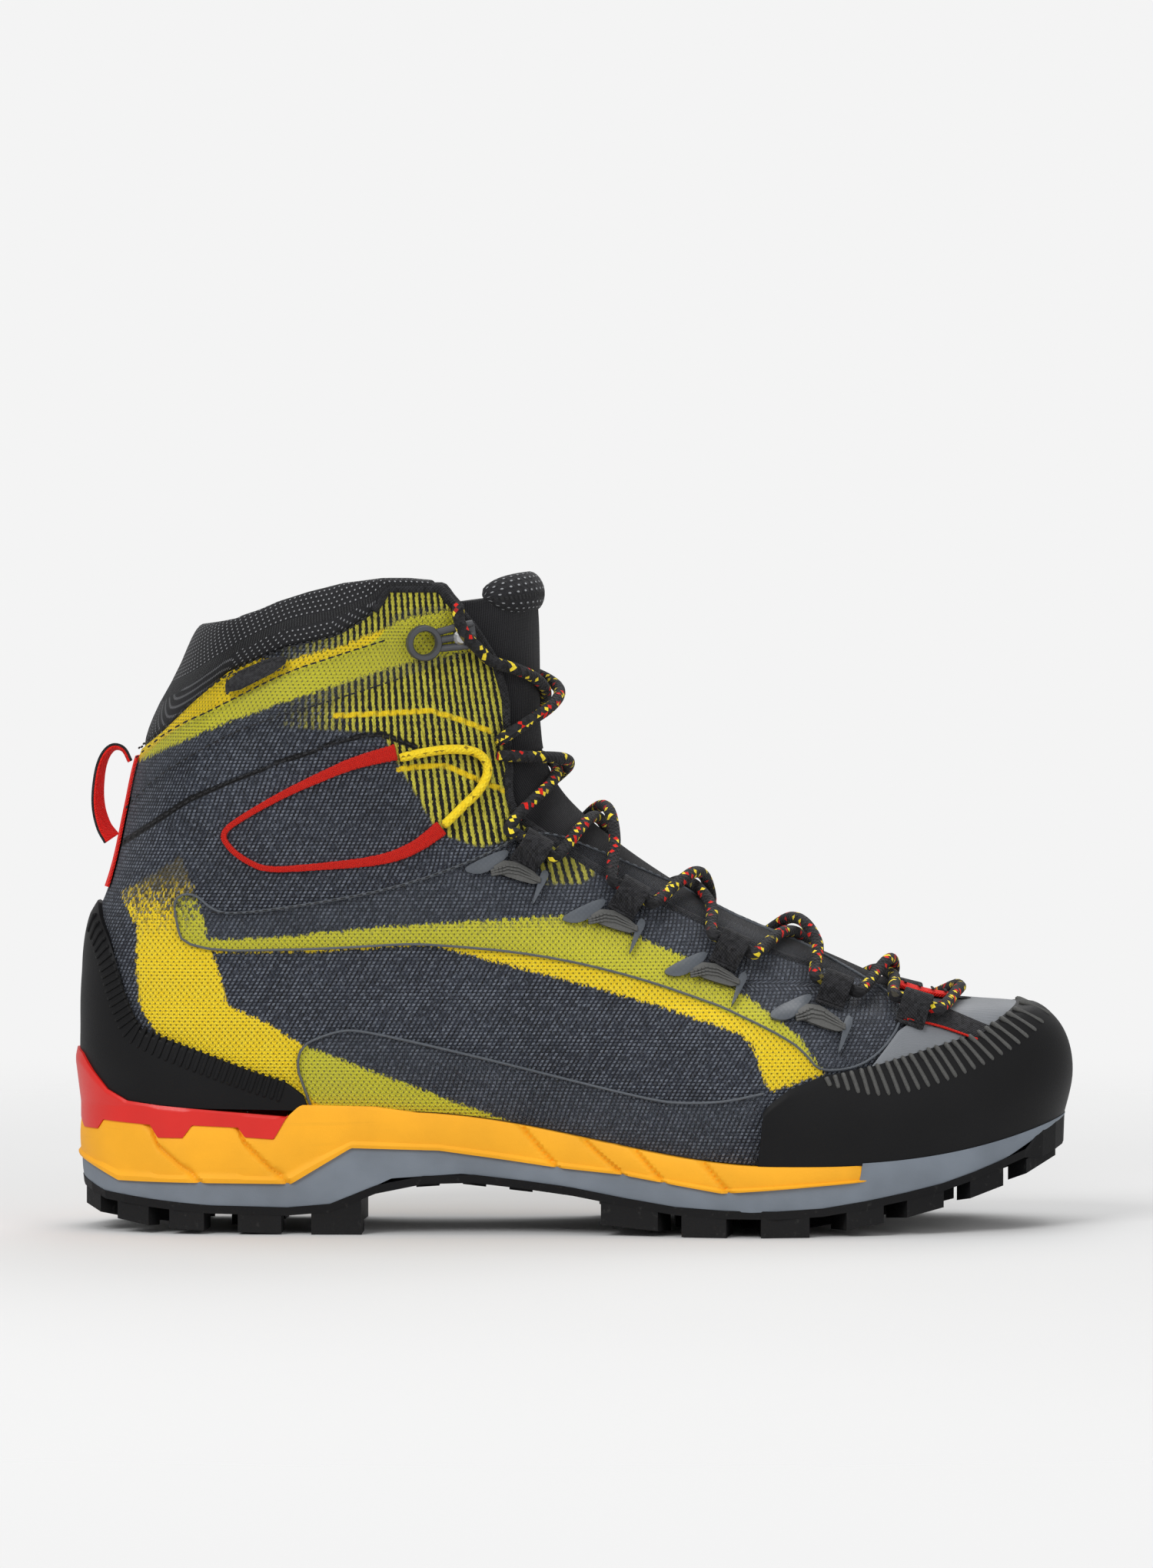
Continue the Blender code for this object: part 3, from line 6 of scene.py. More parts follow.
import bmesh
import bpy
import numpy as np
from bpy.props import FloatProperty, FloatVectorProperty, IntProperty, PointerProperty
from mathutils import Vector
from mathutils.geometry import delaunay_2d_cdt
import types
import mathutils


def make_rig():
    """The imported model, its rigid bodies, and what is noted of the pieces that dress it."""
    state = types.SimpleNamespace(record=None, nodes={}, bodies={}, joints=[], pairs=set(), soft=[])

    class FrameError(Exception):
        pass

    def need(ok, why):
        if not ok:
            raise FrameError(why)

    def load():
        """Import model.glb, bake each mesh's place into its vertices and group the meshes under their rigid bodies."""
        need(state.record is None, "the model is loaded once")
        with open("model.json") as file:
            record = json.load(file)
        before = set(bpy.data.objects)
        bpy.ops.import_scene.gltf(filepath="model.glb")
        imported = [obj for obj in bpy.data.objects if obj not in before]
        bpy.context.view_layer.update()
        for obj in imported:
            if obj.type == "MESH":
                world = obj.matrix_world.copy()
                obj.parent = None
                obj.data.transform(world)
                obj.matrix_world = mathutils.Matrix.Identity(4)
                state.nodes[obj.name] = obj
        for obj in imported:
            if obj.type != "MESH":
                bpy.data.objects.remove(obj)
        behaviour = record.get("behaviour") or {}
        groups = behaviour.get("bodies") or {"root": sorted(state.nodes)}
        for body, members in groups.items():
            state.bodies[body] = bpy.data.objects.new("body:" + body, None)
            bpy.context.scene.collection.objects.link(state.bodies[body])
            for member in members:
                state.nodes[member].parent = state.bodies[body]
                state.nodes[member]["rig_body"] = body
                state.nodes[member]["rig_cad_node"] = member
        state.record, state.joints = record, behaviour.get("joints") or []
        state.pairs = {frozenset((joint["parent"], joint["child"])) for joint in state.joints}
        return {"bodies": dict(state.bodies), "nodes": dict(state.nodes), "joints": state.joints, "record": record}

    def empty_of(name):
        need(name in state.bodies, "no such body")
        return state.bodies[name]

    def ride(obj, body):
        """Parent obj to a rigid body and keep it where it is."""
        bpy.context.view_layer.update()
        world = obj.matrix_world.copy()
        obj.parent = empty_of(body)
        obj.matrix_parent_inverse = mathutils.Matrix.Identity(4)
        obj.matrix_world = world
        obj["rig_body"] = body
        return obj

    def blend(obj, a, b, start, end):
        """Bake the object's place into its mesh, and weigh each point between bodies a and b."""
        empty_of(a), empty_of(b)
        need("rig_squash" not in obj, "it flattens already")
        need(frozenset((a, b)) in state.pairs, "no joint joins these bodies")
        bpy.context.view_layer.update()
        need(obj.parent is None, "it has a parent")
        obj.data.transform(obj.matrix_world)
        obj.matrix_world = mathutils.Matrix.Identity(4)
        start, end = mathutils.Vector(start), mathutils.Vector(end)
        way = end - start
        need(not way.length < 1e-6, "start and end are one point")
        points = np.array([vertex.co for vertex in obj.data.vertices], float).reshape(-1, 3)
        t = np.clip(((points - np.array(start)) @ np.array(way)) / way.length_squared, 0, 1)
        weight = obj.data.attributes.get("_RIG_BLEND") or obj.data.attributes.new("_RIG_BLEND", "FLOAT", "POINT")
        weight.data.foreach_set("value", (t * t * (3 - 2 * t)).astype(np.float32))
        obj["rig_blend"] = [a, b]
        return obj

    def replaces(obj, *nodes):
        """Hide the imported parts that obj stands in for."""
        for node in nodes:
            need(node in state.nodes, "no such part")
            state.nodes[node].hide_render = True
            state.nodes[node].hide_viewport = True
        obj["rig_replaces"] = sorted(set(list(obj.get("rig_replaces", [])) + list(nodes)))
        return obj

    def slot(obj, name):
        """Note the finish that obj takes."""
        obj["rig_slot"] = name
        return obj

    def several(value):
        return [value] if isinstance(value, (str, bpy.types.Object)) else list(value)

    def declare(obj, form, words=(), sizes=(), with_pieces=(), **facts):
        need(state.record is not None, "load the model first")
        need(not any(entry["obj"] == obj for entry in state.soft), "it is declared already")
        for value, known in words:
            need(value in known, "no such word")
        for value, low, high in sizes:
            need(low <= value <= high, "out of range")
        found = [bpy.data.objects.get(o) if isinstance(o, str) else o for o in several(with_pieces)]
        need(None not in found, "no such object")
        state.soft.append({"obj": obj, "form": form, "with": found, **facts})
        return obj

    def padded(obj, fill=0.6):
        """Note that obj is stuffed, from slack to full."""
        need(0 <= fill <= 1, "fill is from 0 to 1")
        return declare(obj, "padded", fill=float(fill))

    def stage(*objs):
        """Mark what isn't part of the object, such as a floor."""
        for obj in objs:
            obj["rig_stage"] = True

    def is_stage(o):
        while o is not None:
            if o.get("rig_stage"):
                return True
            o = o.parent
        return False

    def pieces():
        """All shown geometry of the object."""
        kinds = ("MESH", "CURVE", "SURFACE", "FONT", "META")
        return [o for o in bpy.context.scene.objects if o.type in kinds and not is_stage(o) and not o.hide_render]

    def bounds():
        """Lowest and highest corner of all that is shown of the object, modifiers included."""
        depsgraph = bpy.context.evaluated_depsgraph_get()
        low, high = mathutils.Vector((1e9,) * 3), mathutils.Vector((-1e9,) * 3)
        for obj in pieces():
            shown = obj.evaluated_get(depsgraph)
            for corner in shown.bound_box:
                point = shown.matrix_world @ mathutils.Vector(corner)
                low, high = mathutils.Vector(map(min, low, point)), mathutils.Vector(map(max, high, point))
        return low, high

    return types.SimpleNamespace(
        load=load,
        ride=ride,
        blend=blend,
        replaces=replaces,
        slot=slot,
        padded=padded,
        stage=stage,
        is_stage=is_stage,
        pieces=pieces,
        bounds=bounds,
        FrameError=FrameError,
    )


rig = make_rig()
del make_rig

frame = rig.load()
CAD_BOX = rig.bounds()

bl_info = {
    "name": "Mountaineering Boot Looks",
    "version": (1, 0, 0),
    "blender": (4, 5, 0),
    "location": "View3D > Sidebar > Boot",
    "description": "Builds the visible pieces and finishes of a mountaineering boot",
    "category": "Object",
}

SHIFT = np.array((-0.4, -1.8, 0.0))
MM = 0.001

# The last's rings from the feather line up, in millimetres: back x, back z, front x, front z, half
# widths at heel, waist and ball, sideways shift of the front end, sag, and front rounding.
RINGS = np.array((
    (-146.6, 38.5, 146.0, 33.5, 33.0, 31.5, 49.5, 10.0, 13.5, 0.35),
    (-147.8, 51.0, 148.6, 45.0, 34.5, 34.5, 51.0, 9.5, 10.0, 0.36),
    (-147.8, 60.5, 147.6, 54.5, 34.0, 35.5, 50.0, 9.0, 7.0, 0.38),
    (-147.8, 67.5, 143.6, 61.5, 33.5, 35.5, 48.0, 8.5, 4.5, 0.42),
    (-147.6, 73.0, 136.5, 65.8, 33.0, 35.5, 44.5, 8.0, 3.0, 0.46),
    (-147.3, 77.5, 120.0, 67.4, 32.5, 35.5, 41.5, 7.0, 1.5, 0.50),
    (-147.0, 83.0, 101.0, 71.0, 32.0, 35.5, 40.0, 6.0, 0.0, 0.50),
    (-146.2, 89.0, 75.0, 82.0, 31.0, 35.5, 38.0, 4.5, 0.0, 0.50),
    (-144.6, 95.0, 45.0, 94.6, 30.5, 35.5, 37.0, 3.5, 0.0, 0.50),
    (-142.0, 101.5, 18.0, 111.0, 30.0, 35.5, 36.0, 2.5, 0.0, 0.50),
    (-140.0, 107.5, -2.0, 127.6, 30.0, 36.0, 35.5, 2.0, 0.0, 0.50),
    (-138.2, 114.5, -10.0, 140.5, 30.0, 36.5, 35.5, 1.0, 0.0, 0.50),
    (-135.6, 127.0, -12.0, 151.0, 30.0, 37.0, 35.5, 0.0, 0.0, 0.50),
    (-132.2, 142.0, -12.2, 162.0, 30.5, 37.5, 35.5, 0.0, 0.0, 0.50),
    (-126.4, 155.4, -12.3, 173.0, 31.5, 38.0, 36.0, 0.0, 0.0, 0.50),
    (-119.5, 168.0, -12.6, 184.0, 32.5, 38.5, 36.5, 0.0, 0.0, 0.50),
    (-114.5, 181.0, -13.5, 195.0, 33.5, 39.0, 37.0, 0.0, 0.0, 0.50),
    (-110.5, 190.0, -15.0, 206.0, 34.0, 39.5, 37.5, 0.0, 0.0, 0.50),
))
THROAT_RING = 6
THROAT_BACK = (0.0, 13.0, 11.0, 14.0, 16.0, 10.0, 8.5, 9.0, 12.0, 18.0, 26.0, 30.0)
FLEX_START = (-0.076, 0.0, 0.106)
FLEX_END = (-0.0801, 0.0, 0.1271)
TONGUE_START = (-0.0104, 0.0, 0.1430)
TONGUE_END = (-0.0124, 0.0, 0.1600)

SKIN = 0.6
FILM = 0.6
LACE_RADIUS = 1.8
CORD_RADIUS = 1.4
LOOP_HALF = 4.0
PULL_HALF = 5.0
CUFF_LEVEL = 124
HOOK_OUTER, HOOK_INNER, HOOK_HALF = 5.4, 3.5, 1.4
ROLL_SHARE, ROLL_ROW = 0.74, 15.30
TONGUE_SHARE = 1.12
BAR_SEED = 7
LACE_DEPTH = 5.4
HOOK_PLACE = (-46.0, 177.0)
LOOP_PLACES = ((101.0, 64.5), (77.0, 70.0), (45.5, 83.0), (15.0, 99.0), (-14.0, 114.0))

# Side-view outlines in millimetres, x forward and z up.
TOE_RAND_TOP = ((43, 20), (47, 27), (52, 32.8), (57, 39.3), (63, 44), (73, 47.7), (89, 50.5),
                (105, 54.8), (119, 58.5), (126, 62), (134, 66.5), (150, 75))
HEEL_RAND_TOP = ((-170, 99), (-143, 98), (-142, 94), (-139, 87.3), (-137, 81.2), (-135, 74),
                 (-132, 66.2), (-129, 60.8), (-97, 49), (-86, 45.6), (-80, 41), (-78.5, 20))
SIDE_FILM = ((-79, 38), (-85, 55.2), (-71, 61.3), (-62, 60.8), (-33, 54.3), (3, 45.4), (24, 40.7),
             (32, 40), (44, 40.4), (56, 43), (57, 41), (50, 32), (43, 22), (0, 22), (-40, 31),
             (-70, 38))
CAGE = ((-120, 95.5), (-120, 100.9), (-114, 102), (-108, 96.2), (-100, 95.9), (-77, 99.2), (-58, 102.7),
        (-40, 108), (-25, 114), (-12, 121), (10, 112), (40, 98), (70, 84), (90, 73), (100, 66),
        (88, 51), (72.5, 48.7), (68.6, 53.8), (63, 58.5), (44, 67.4), (18, 76.8), (-12, 84), (-44, 87),
        (-58, 86.6), (-77, 85.4), (-117, 84.2))
STRAP = ((-131, 142), (-118, 152.6), (-103, 159.5), (-86, 168), (-72, 172.9), (-58, 177.4), (-56, 185),
         (-48, 187.6), (-38, 188), (-34, 183), (-28, 174.5), (-54, 165.9), (-72, 160), (-89, 154.9),
         (-107, 147.9), (-123, 138.3), (-134, 127), (-133, 136))
TOE_FILM_BACK = ((80, 46), (88, 50.5), (96, 60), (104, 64.5), (114, 69), (118, 90), (190, 90))
COLLAR_BOTTOM = ((-170, 135), (-131, 144.6), (-124, 150), (-114, 159.4), (-104, 168), (-86, 175.7),
                 (-72, 178.5), (-61, 185), (-56, 193), (-41, 193), (-30, 190), (20, 186))
CUFF_TOP = ((-170, 183), (-114, 183), (-101, 184.4), (-95, 186.7), (-89, 189.4), (-80, 192.2),
            (-69, 194.6), (-57, 196), (-50, 196), (20, 190))
TAG = ((-104, 160.4), (-104.6, 166.6), (-86, 174), (-85.4, 169.6))
YELLOW_BOTTOM = ((-150, 24), (-135, 15.7), (-85, 15.2), (-67, 26), (-41, 25.3), (-4, 20.1), (14, 18.5),
                 (44, 13.3), (89, 16.6), (150, 20))
GREY_BOTTOM = ((-150, 18), (-140, 12.6), (-127, 10.8), (-112, 9.1), (-84, 8.4), (-71, 9.8), (-55, 17.3),
               (-34, 18.7), (-4, 15.2), (27, 9.6), (52, 8), (71, 8.7), (91, 11.7), (111, 16.1),
               (125, 21.1), (132, 24.5))
PULL_PATH = ((-135.0, 140.6), (-137.2, 144.4), (-140.4, 144.8), (-143.2, 141), (-144.6, 134),
             (-144.6, 127), (-143.0, 121), (-140.6, 117.2))

# Knit areas and lines on the side of the boot.
YELLOW_AREAS = (
    ((-136.7, 101.6), (-118.2, 112.8), (-114, 102), (-110.2, 88.5), (-106.2, 77), (-104.4, 68.3),
     (-92.4, 63.2), (-82.4, 56.9), (-49.4, 44.5), (-19.2, 33.5), (-30, 20), (-90, 20), (-126, 60.8),
     (-130.6, 68), (-131.7, 80), (-131.3, 91.3)),
    ((-110, 88), (-92, 88.5), (-58, 92), (-12, 94.8), (2, 95.5), (30, 84), (50, 72), (66, 60),
     (74, 48.7), (57, 43.3), (55, 50.5), (52.4, 57.3), (48.7, 60.6), (23.6, 69), (-4.7, 76.8),
     (-44.5, 87), (-77, 84.7), (-110, 84.2)),
    ((-138, 138), (-123, 145), (-107, 152), (-89, 158.5), (-72, 164), (-50, 171), (-25, 175.5), (-18, 178),
     (-26, 192), (-35, 187), (-50, 184.5), (-57.6, 181), (-70, 176), (-86, 171.5), (-104, 172), (-138, 150)),
)
STRETCH_AREA = ((-92, 152), (-96, 172), (-70, 200), (-2, 205), (-2, 128), (-16, 119), (-28.3, 115.5),
                (-41.2, 120), (-54, 142.5), (-58, 150))
RIB_PATCH = ((-12, 114), (-10, 104.5), (2, 104.5), (7, 108), (-3, 117))
ANKLE_SEAM = ((-140, 114), (-137.6, 115.8), (-128.2, 121.7), (-116.3, 129.6), (-104.4, 135),
              (-92.4, 139.7), (-80.5, 143.9), (-68.6, 148.1), (-58.5, 149.8), (-48, 145.8))
ARCS = (((-71.8, 155.1), (-56.2, 155.8), (-43.5, 156.5), (-35.8, 154.2), (-25.7, 150.2)),
        ((-53.1, 139), (-46.1, 139.9), (-38.4, 139.9), (-30.9, 136.4), (-20.6, 132)))
RED_OUTLINE = ((-54.1, 144.1), (-66.2, 141.1), (-74.4, 137.6), (-86.3, 132.2), (-98.3, 125.4),
               (-106.2, 120), (-103.2, 115.1), (-98.3, 111.6), (-92.4, 109), (-80.5, 109.7),
               (-58.5, 111.6), (-48, 115.4), (-40.5, 121.2))
TOE_RIBS_TOP = ((74, 47.2), (89.2, 49.9), (104.6, 54.1), (118.9, 57.9), (126.1, 61.4), (134.6, 65.5))
TOE_RIBS_LOW = ((75, 45.0), (90.8, 41.5), (113, 47), (132, 55.5), (141.5, 62.5))


# ---------------------------------------------------------------- the last's surface

def ring(v):
    v = np.asarray(v, float)
    k = np.clip(np.floor(v).astype(int), 0, len(RINGS) - 2)
    t = (v - k)[..., None]
    a, b, c, d = (RINGS[np.clip(k + step, 0, len(RINGS) - 1)] for step in (-1, 0, 1, 2))
    curve = 2 * b + (c - a) * t + (2 * a - 5 * b + 4 * c - d) * t ** 2 + (3 * b - a - 3 * c + d) * t ** 3
    return np.where(t < 0, b + (c - b) * t, curve / 2)


def smooth_step(t):
    t = np.clip(t, 0.0, 1.0)
    return t * t * (3 - 2 * t)


def sag_shape(s):
    toe = 1 - (np.clip(s - 0.72, 0, None) / 0.28) ** 2.5
    return np.where(s <= 0.72, smooth_step((s - 0.33) / 0.37), toe)


def rounding(t, power):
    t = np.clip(t, 0.0, 1.0)
    return (1 - (1 - t) ** power) ** (1 / power)


def half_width(row, s):
    heel, waist, ball, front = row[..., 4], row[..., 5], row[..., 6], row[..., 9]
    width = np.where(s < 0.42, heel + (waist - heel) * smooth_step((s - 0.14) / 0.28),
                     waist + (ball - waist) * smooth_step((s - 0.42) / 0.30))
    return width * rounding(s / 0.14, 2.2) * rounding((1 - s) / front, 2.15)


def last_point(angle, v):
    """Points of the last in millimetres: angle 0 at the front, pi at the back, lateral side between."""
    angle, v = np.broadcast_arrays(np.asarray(angle, float), np.asarray(v, float))
    row = ring(v)
    s = (1 + np.cos(angle)) / 2
    x = row[..., 0] + (row[..., 2] - row[..., 0]) * s
    z = row[..., 1] + (row[..., 3] - row[..., 1]) * s - row[..., 8] * sag_shape(s)
    waist = -0.3 * row[..., 7] * np.exp(-((s - 0.38) / 0.16) ** 2)
    side = np.where(np.sin(angle) > 0, -1.0, 1.0)
    y = waist + row[..., 7] * smooth_step((s - 0.6) / 0.4) + side * half_width(row, s)
    return np.stack((x, y, z), -1) + SHIFT


def unit(vectors):
    return vectors / np.maximum(np.linalg.norm(vectors, axis=-1, keepdims=True), 1e-9)


def last_normal(angle, v):
    angle, v = np.broadcast_arrays(np.asarray(angle, float), np.asarray(v, float))
    step = 0.02
    around = last_point(angle + step, v) - last_point(angle - step, v)
    up = last_point(angle, v + step) - last_point(angle, v - step)
    return unit(np.cross(up, around))


def surface(angle, v, depth):
    depth = np.asarray(depth, float)[..., None]
    return last_point(angle, v) + last_normal(angle, v) * depth


def throat_angle(v):
    v = np.asarray(v, float)
    place = np.clip(v - THROAT_RING, 0, len(THROAT_BACK) - 1)
    back = np.interp(place, range(len(THROAT_BACK)), THROAT_BACK)
    row = ring(v)
    return np.arccos(1 - 2 * back / (row[..., 2] - row[..., 0]))


def upper_angle(c, v):
    """Line c runs from 0 at the lateral throat edge, over 1 at the heel, to 2 at the medial one."""
    start = throat_angle(v)
    return np.where(c <= 1, math.pi * c + start * (1 - c) ** 2, math.pi * c - start * (c - 1) ** 2)


def outline_height(c, outline, low=0.0, high=17.0, by_angle=False):
    """For each line, the height at which the surface passes a side-view outline."""
    table = np.linspace(low, high, 240)
    c = np.asarray(c, float)
    cc, vv = np.meshgrid(c, table, indexing="ij")
    points = last_point(cc if by_angle else upper_angle(cc, vv), vv) - SHIFT
    xs, zs = zip(*outline)
    above = points[..., 2] - np.interp(points[..., 0], xs, zs)
    over = above > 0
    first = np.where(over.any(1), over.argmax(1), len(table) - 1)
    first = np.maximum(first, 1)
    rows = np.arange(len(c))
    a, b = above[rows, first - 1], above[rows, first]
    share = np.clip(np.where(np.abs(b - a) > 1e-9, -a / np.where(b == a, 1, b - a), 1), 0, 1)
    share = np.where(over.any(1), share, 1.0)
    return table[first - 1] + (table[first] - table[first - 1]) * share


def side_place(x, z):
    """Angle on the lateral side, and height, of side-view places."""
    x, z = np.atleast_1d(np.asarray(x, float)), np.atleast_1d(np.asarray(z, float))
    table = np.linspace(-0.4, 17.0, 300)
    rows = ring(table)
    share = (x[:, None] - rows[:, 0]) / (rows[:, 2] - rows[:, 0])
    held = np.clip(share, 0.002, 0.998)
    chord = rows[:, 1] + (rows[:, 3] - rows[:, 1]) * held - rows[:, 8] * sag_shape(held)
    gap = np.where((share > -0.01) & (share < 1.01), chord - z[:, None], np.nan)
    near = np.nanargmin(np.abs(gap), axis=1)
    index = np.arange(len(x))
    other = np.clip(near + np.where(gap[index, near] > 0, -1, 1), 0, len(table) - 1)
    a, b = gap[index, near], gap[index, other]
    t = np.where(np.isnan(b) | (np.abs(a - b) < 1e-9) | (a * b > 0), 0, a / np.where(a == b, 1, a - b))
    v = table[near] + (table[other] - table[near]) * np.clip(t, 0, 1)
    row = ring(v)
    share = np.clip((x - row[:, 0]) / (row[:, 2] - row[:, 0]), 0.002, 0.998)
    return np.arccos(2 * share - 1), v


def on_side(x, z, side, depth):
    angle, v = side_place(x, z)
    if side == "medial":
        angle = -angle
    return surface(angle, v, np.broadcast_to(depth, angle.shape)), last_normal(angle, v)


# ---------------------------------------------------------------- outlines

def rounded(outline, rounds=2, closed=True):
    points = np.array(outline, float)
    for _ in range(rounds):
        after = np.roll(points, -1, 0) if closed else points[1:]
        here = points if closed else points[:-1]
        cut = np.stack((here * 0.75 + after * 0.25, here * 0.25 + after * 0.75), 1)
        cut = cut.reshape(-1, points.shape[1])
        points = cut if closed else np.vstack((points[:1], cut, points[-1:]))
    return points


def spaced(points, step, closed=False):
    points = np.array(points, float)
    if closed:
        points = np.vstack((points, points[:1]))
    reach = np.concatenate(((0,), np.cumsum(np.linalg.norm(np.diff(points, axis=0), axis=1))))
    count = max(int(round(reach[-1] / step)), 2)
    stops = np.linspace(0, reach[-1], count + 1)
    made = np.stack([np.interp(stops, reach, points[:, k]) for k in range(points.shape[1])], 1)
    return made[:-1] if closed else made


def line_distance(places, line, closed=False):
    """Distance from side-view places to a line, and for a closed one negative inside it."""
    line = np.array(line, float)
    ends = np.roll(line, -1, 0) if closed else line[1:]
    starts = line if closed else line[:-1]
    best = np.full(len(places), 1e9)
    inside = np.zeros(len(places), bool)
    for a, b in zip(starts, ends):
        d = b - a
        t = np.clip(((places - a) @ d) / max(d @ d, 1e-9), 0, 1)
        best = np.minimum(best, np.linalg.norm(places - a - t[:, None] * d, axis=1))
        if closed and a[1] != b[1]:
            spans = (a[1] > places[:, 1]) != (b[1] > places[:, 1])
            cross = a[0] + (places[:, 1] - a[1]) * d[0] / d[1]
            inside ^= spans & (places[:, 0] < cross)
    return np.where(inside, -best, best) if closed else best


# ---------------------------------------------------------------- meshes

def new_object(name, points, faces, uv=None, marks=None):
    """A mesh object from points in millimetres, with cloth coordinates and marks for each point."""
    mesh = bpy.data.meshes.new(name)
    mesh.from_pydata([tuple(point) for point in np.asarray(points) * MM], [], [tuple(face) for face in faces])
    if uv is not None:
        layer = mesh.uv_layers.new(name="cloth")
        corner = np.empty(len(mesh.loops), int)
        mesh.loops.foreach_get("vertex_index", corner)
        layer.data.foreach_set("uv", (np.asarray(uv, float) * MM)[corner].astype(np.float32).ravel())
    for key, values in (marks or {}).items():
        mark = mesh.attributes.new(key, "FLOAT", "POINT")
        mark.data.foreach_set("value", np.asarray(values, np.float32))
    mesh.shade_smooth()
    obj = bpy.data.objects.new(name, mesh)
    bpy.context.scene.collection.objects.link(obj)
    return obj


def grid_faces(rows, columns, wrap=False):
    faces = []
    last = columns if wrap else columns - 1
    for i in range(rows - 1):
        for j in range(last):
            k = (j + 1) % columns
            faces.append((i * columns + j, (i + 1) * columns + j, (i + 1) * columns + k, i * columns + k))
    return faces


def thickened(obj, thickness, rim=0.0):
    """Gives an outer skin its wall, inward, and rounds its rim a little."""
    wall = obj.modifiers.new("wall", "SOLIDIFY")
    wall.thickness = thickness * MM
    wall.offset = -1.0
    wall.use_even_offset = False
    if rim:
        soft = obj.modifiers.new("rim", "BEVEL")
        soft.width = rim * MM
        soft.segments = 2
        soft.limit_method = "ANGLE"
        soft.angle_limit = math.radians(50)
    return baked(obj)


def baked(obj):
    """The object with its modifiers' result as its own plain mesh."""
    bpy.context.view_layer.update()
    graph = bpy.context.evaluated_depsgraph_get()
    mesh = bpy.data.meshes.new_from_object(obj.evaluated_get(graph))
    obj.modifiers.clear()
    obj.data = mesh
    mesh.shade_smooth()
    mesh.set_sharp_from_angle(angle=math.radians(48))
    return obj


def outward(obj):
    shape = bmesh.new()
    shape.from_mesh(obj.data)
    bmesh.ops.remove_doubles(shape, verts=shape.verts, dist=0.00001)
    bmesh.ops.recalc_face_normals(shape, faces=shape.faces)
    shape.to_mesh(obj.data)
    shape.free()
    return obj


def finished(obj, material, body=None, flex=False, replaces=(), slot=None):
    obj.data.materials.clear()
    obj.data.materials.append(material)
    if flex == "tongue":
        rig.blend(obj, "cuff", "tongue", start=TONGUE_START, end=TONGUE_END)
    elif flex:
        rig.blend(obj, "boot", "cuff", start=FLEX_START, end=FLEX_END)
    else:
        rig.ride(obj, body)
    if replaces:
        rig.replaces(obj, *replaces)
    if slot:
        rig.slot(obj, slot)
    return obj


def shell_points(c, v, depth):
    return surface(upper_angle(c, v), v, depth)


def marks_of(points):
    """How far each point lies from the coloured areas and lines, in millimetres."""
    places = (points - SHIFT)[:, (0, 2)]
    yellow = np.min([line_distance(places, area, True) for area in YELLOW_AREAS], axis=0)
    return {
        "yellow": yellow,
        "stretch": np.min([line_distance(places, area, True) for area in (STRETCH_AREA, RIB_PATCH)], axis=0),
        "seam": line_distance(places, ANKLE_SEAM),
        "arc": np.min([line_distance(places, arc) for arc in ARCS], axis=0),
        "level": places[:, 1],
        "filmed": np.min([line_distance(places, spaced(rounded(area, 2), 2.0, True), True)
                          for area in (CAGE, SIDE_FILM, STRAP)], axis=0),
    }


def lengths(points, axis):
    """Distance run from the first point, along one axis of a grid of points."""
    run = np.cumsum(np.linalg.norm(np.diff(points, axis=axis), axis=2), axis)
    return np.concatenate((np.zeros_like(run[:1] if axis == 0 else run[:, :1]), run), axis)


def shell(name, lines, low, high, rows, depth, thickness, marked=False):
    """A sheet of the upper between two heights given for each line."""
    share = np.linspace(0, 1, rows)[:, None]
    low, high = np.broadcast_to(low, lines.shape), np.broadcast_to(high, lines.shape)
    v = low[None, :] * (1 - share) + high[None, :] * share
    c = np.broadcast_to(lines, v.shape)
    depth = np.broadcast_to(depth, v.shape)
    points = shell_points(c, v, depth)
    across = lengths(points, 1)
    middle = int(np.argmin(np.abs(lines - 1.0)))
    across = across - across[:, middle:middle + 1]
    along = lengths(points, 0)
    flat = points.reshape(-1, 3)
    uv = np.stack((across.ravel(), along.ravel()), 1)
    obj = new_object(name, flat, grid_faces(rows, len(lines)), uv, marks_of(flat) if marked else None)
    return thickened(merged(obj), thickness)


def merged(obj):
    shape = bmesh.new()
    shape.from_mesh(obj.data)
    bmesh.ops.remove_doubles(shape, verts=shape.verts, dist=0.00002)
    shape.to_mesh(obj.data)
    shape.free()
    return obj


def band(name, angles, low, high, rows, depth, thickness, drop=0.0):
    """A sheet round the toe or heel between two heights, thinner along its upper edge by drop."""
    share = np.linspace(0, 1, rows)[:, None] ** 0.9
    v = np.broadcast_to(low, angles.shape)[None, :] * (1 - share) + high[None, :] * share
    a = np.broadcast_to(angles, v.shape)
    edge = np.clip((1 - share) * rows / 3, 0, 1)
    fall = np.broadcast_to(depth - drop * (1 - edge), v.shape)
    points = surface(a, v, fall)
    across = lengths(points, 1)
    flat = points.reshape(-1, 3)
    uv = np.stack((across.ravel(), flat[:, 2]), 1)
    obj = new_object(name, flat, grid_faces(rows, len(angles)), uv)
    return thickened(merged(obj), thickness)


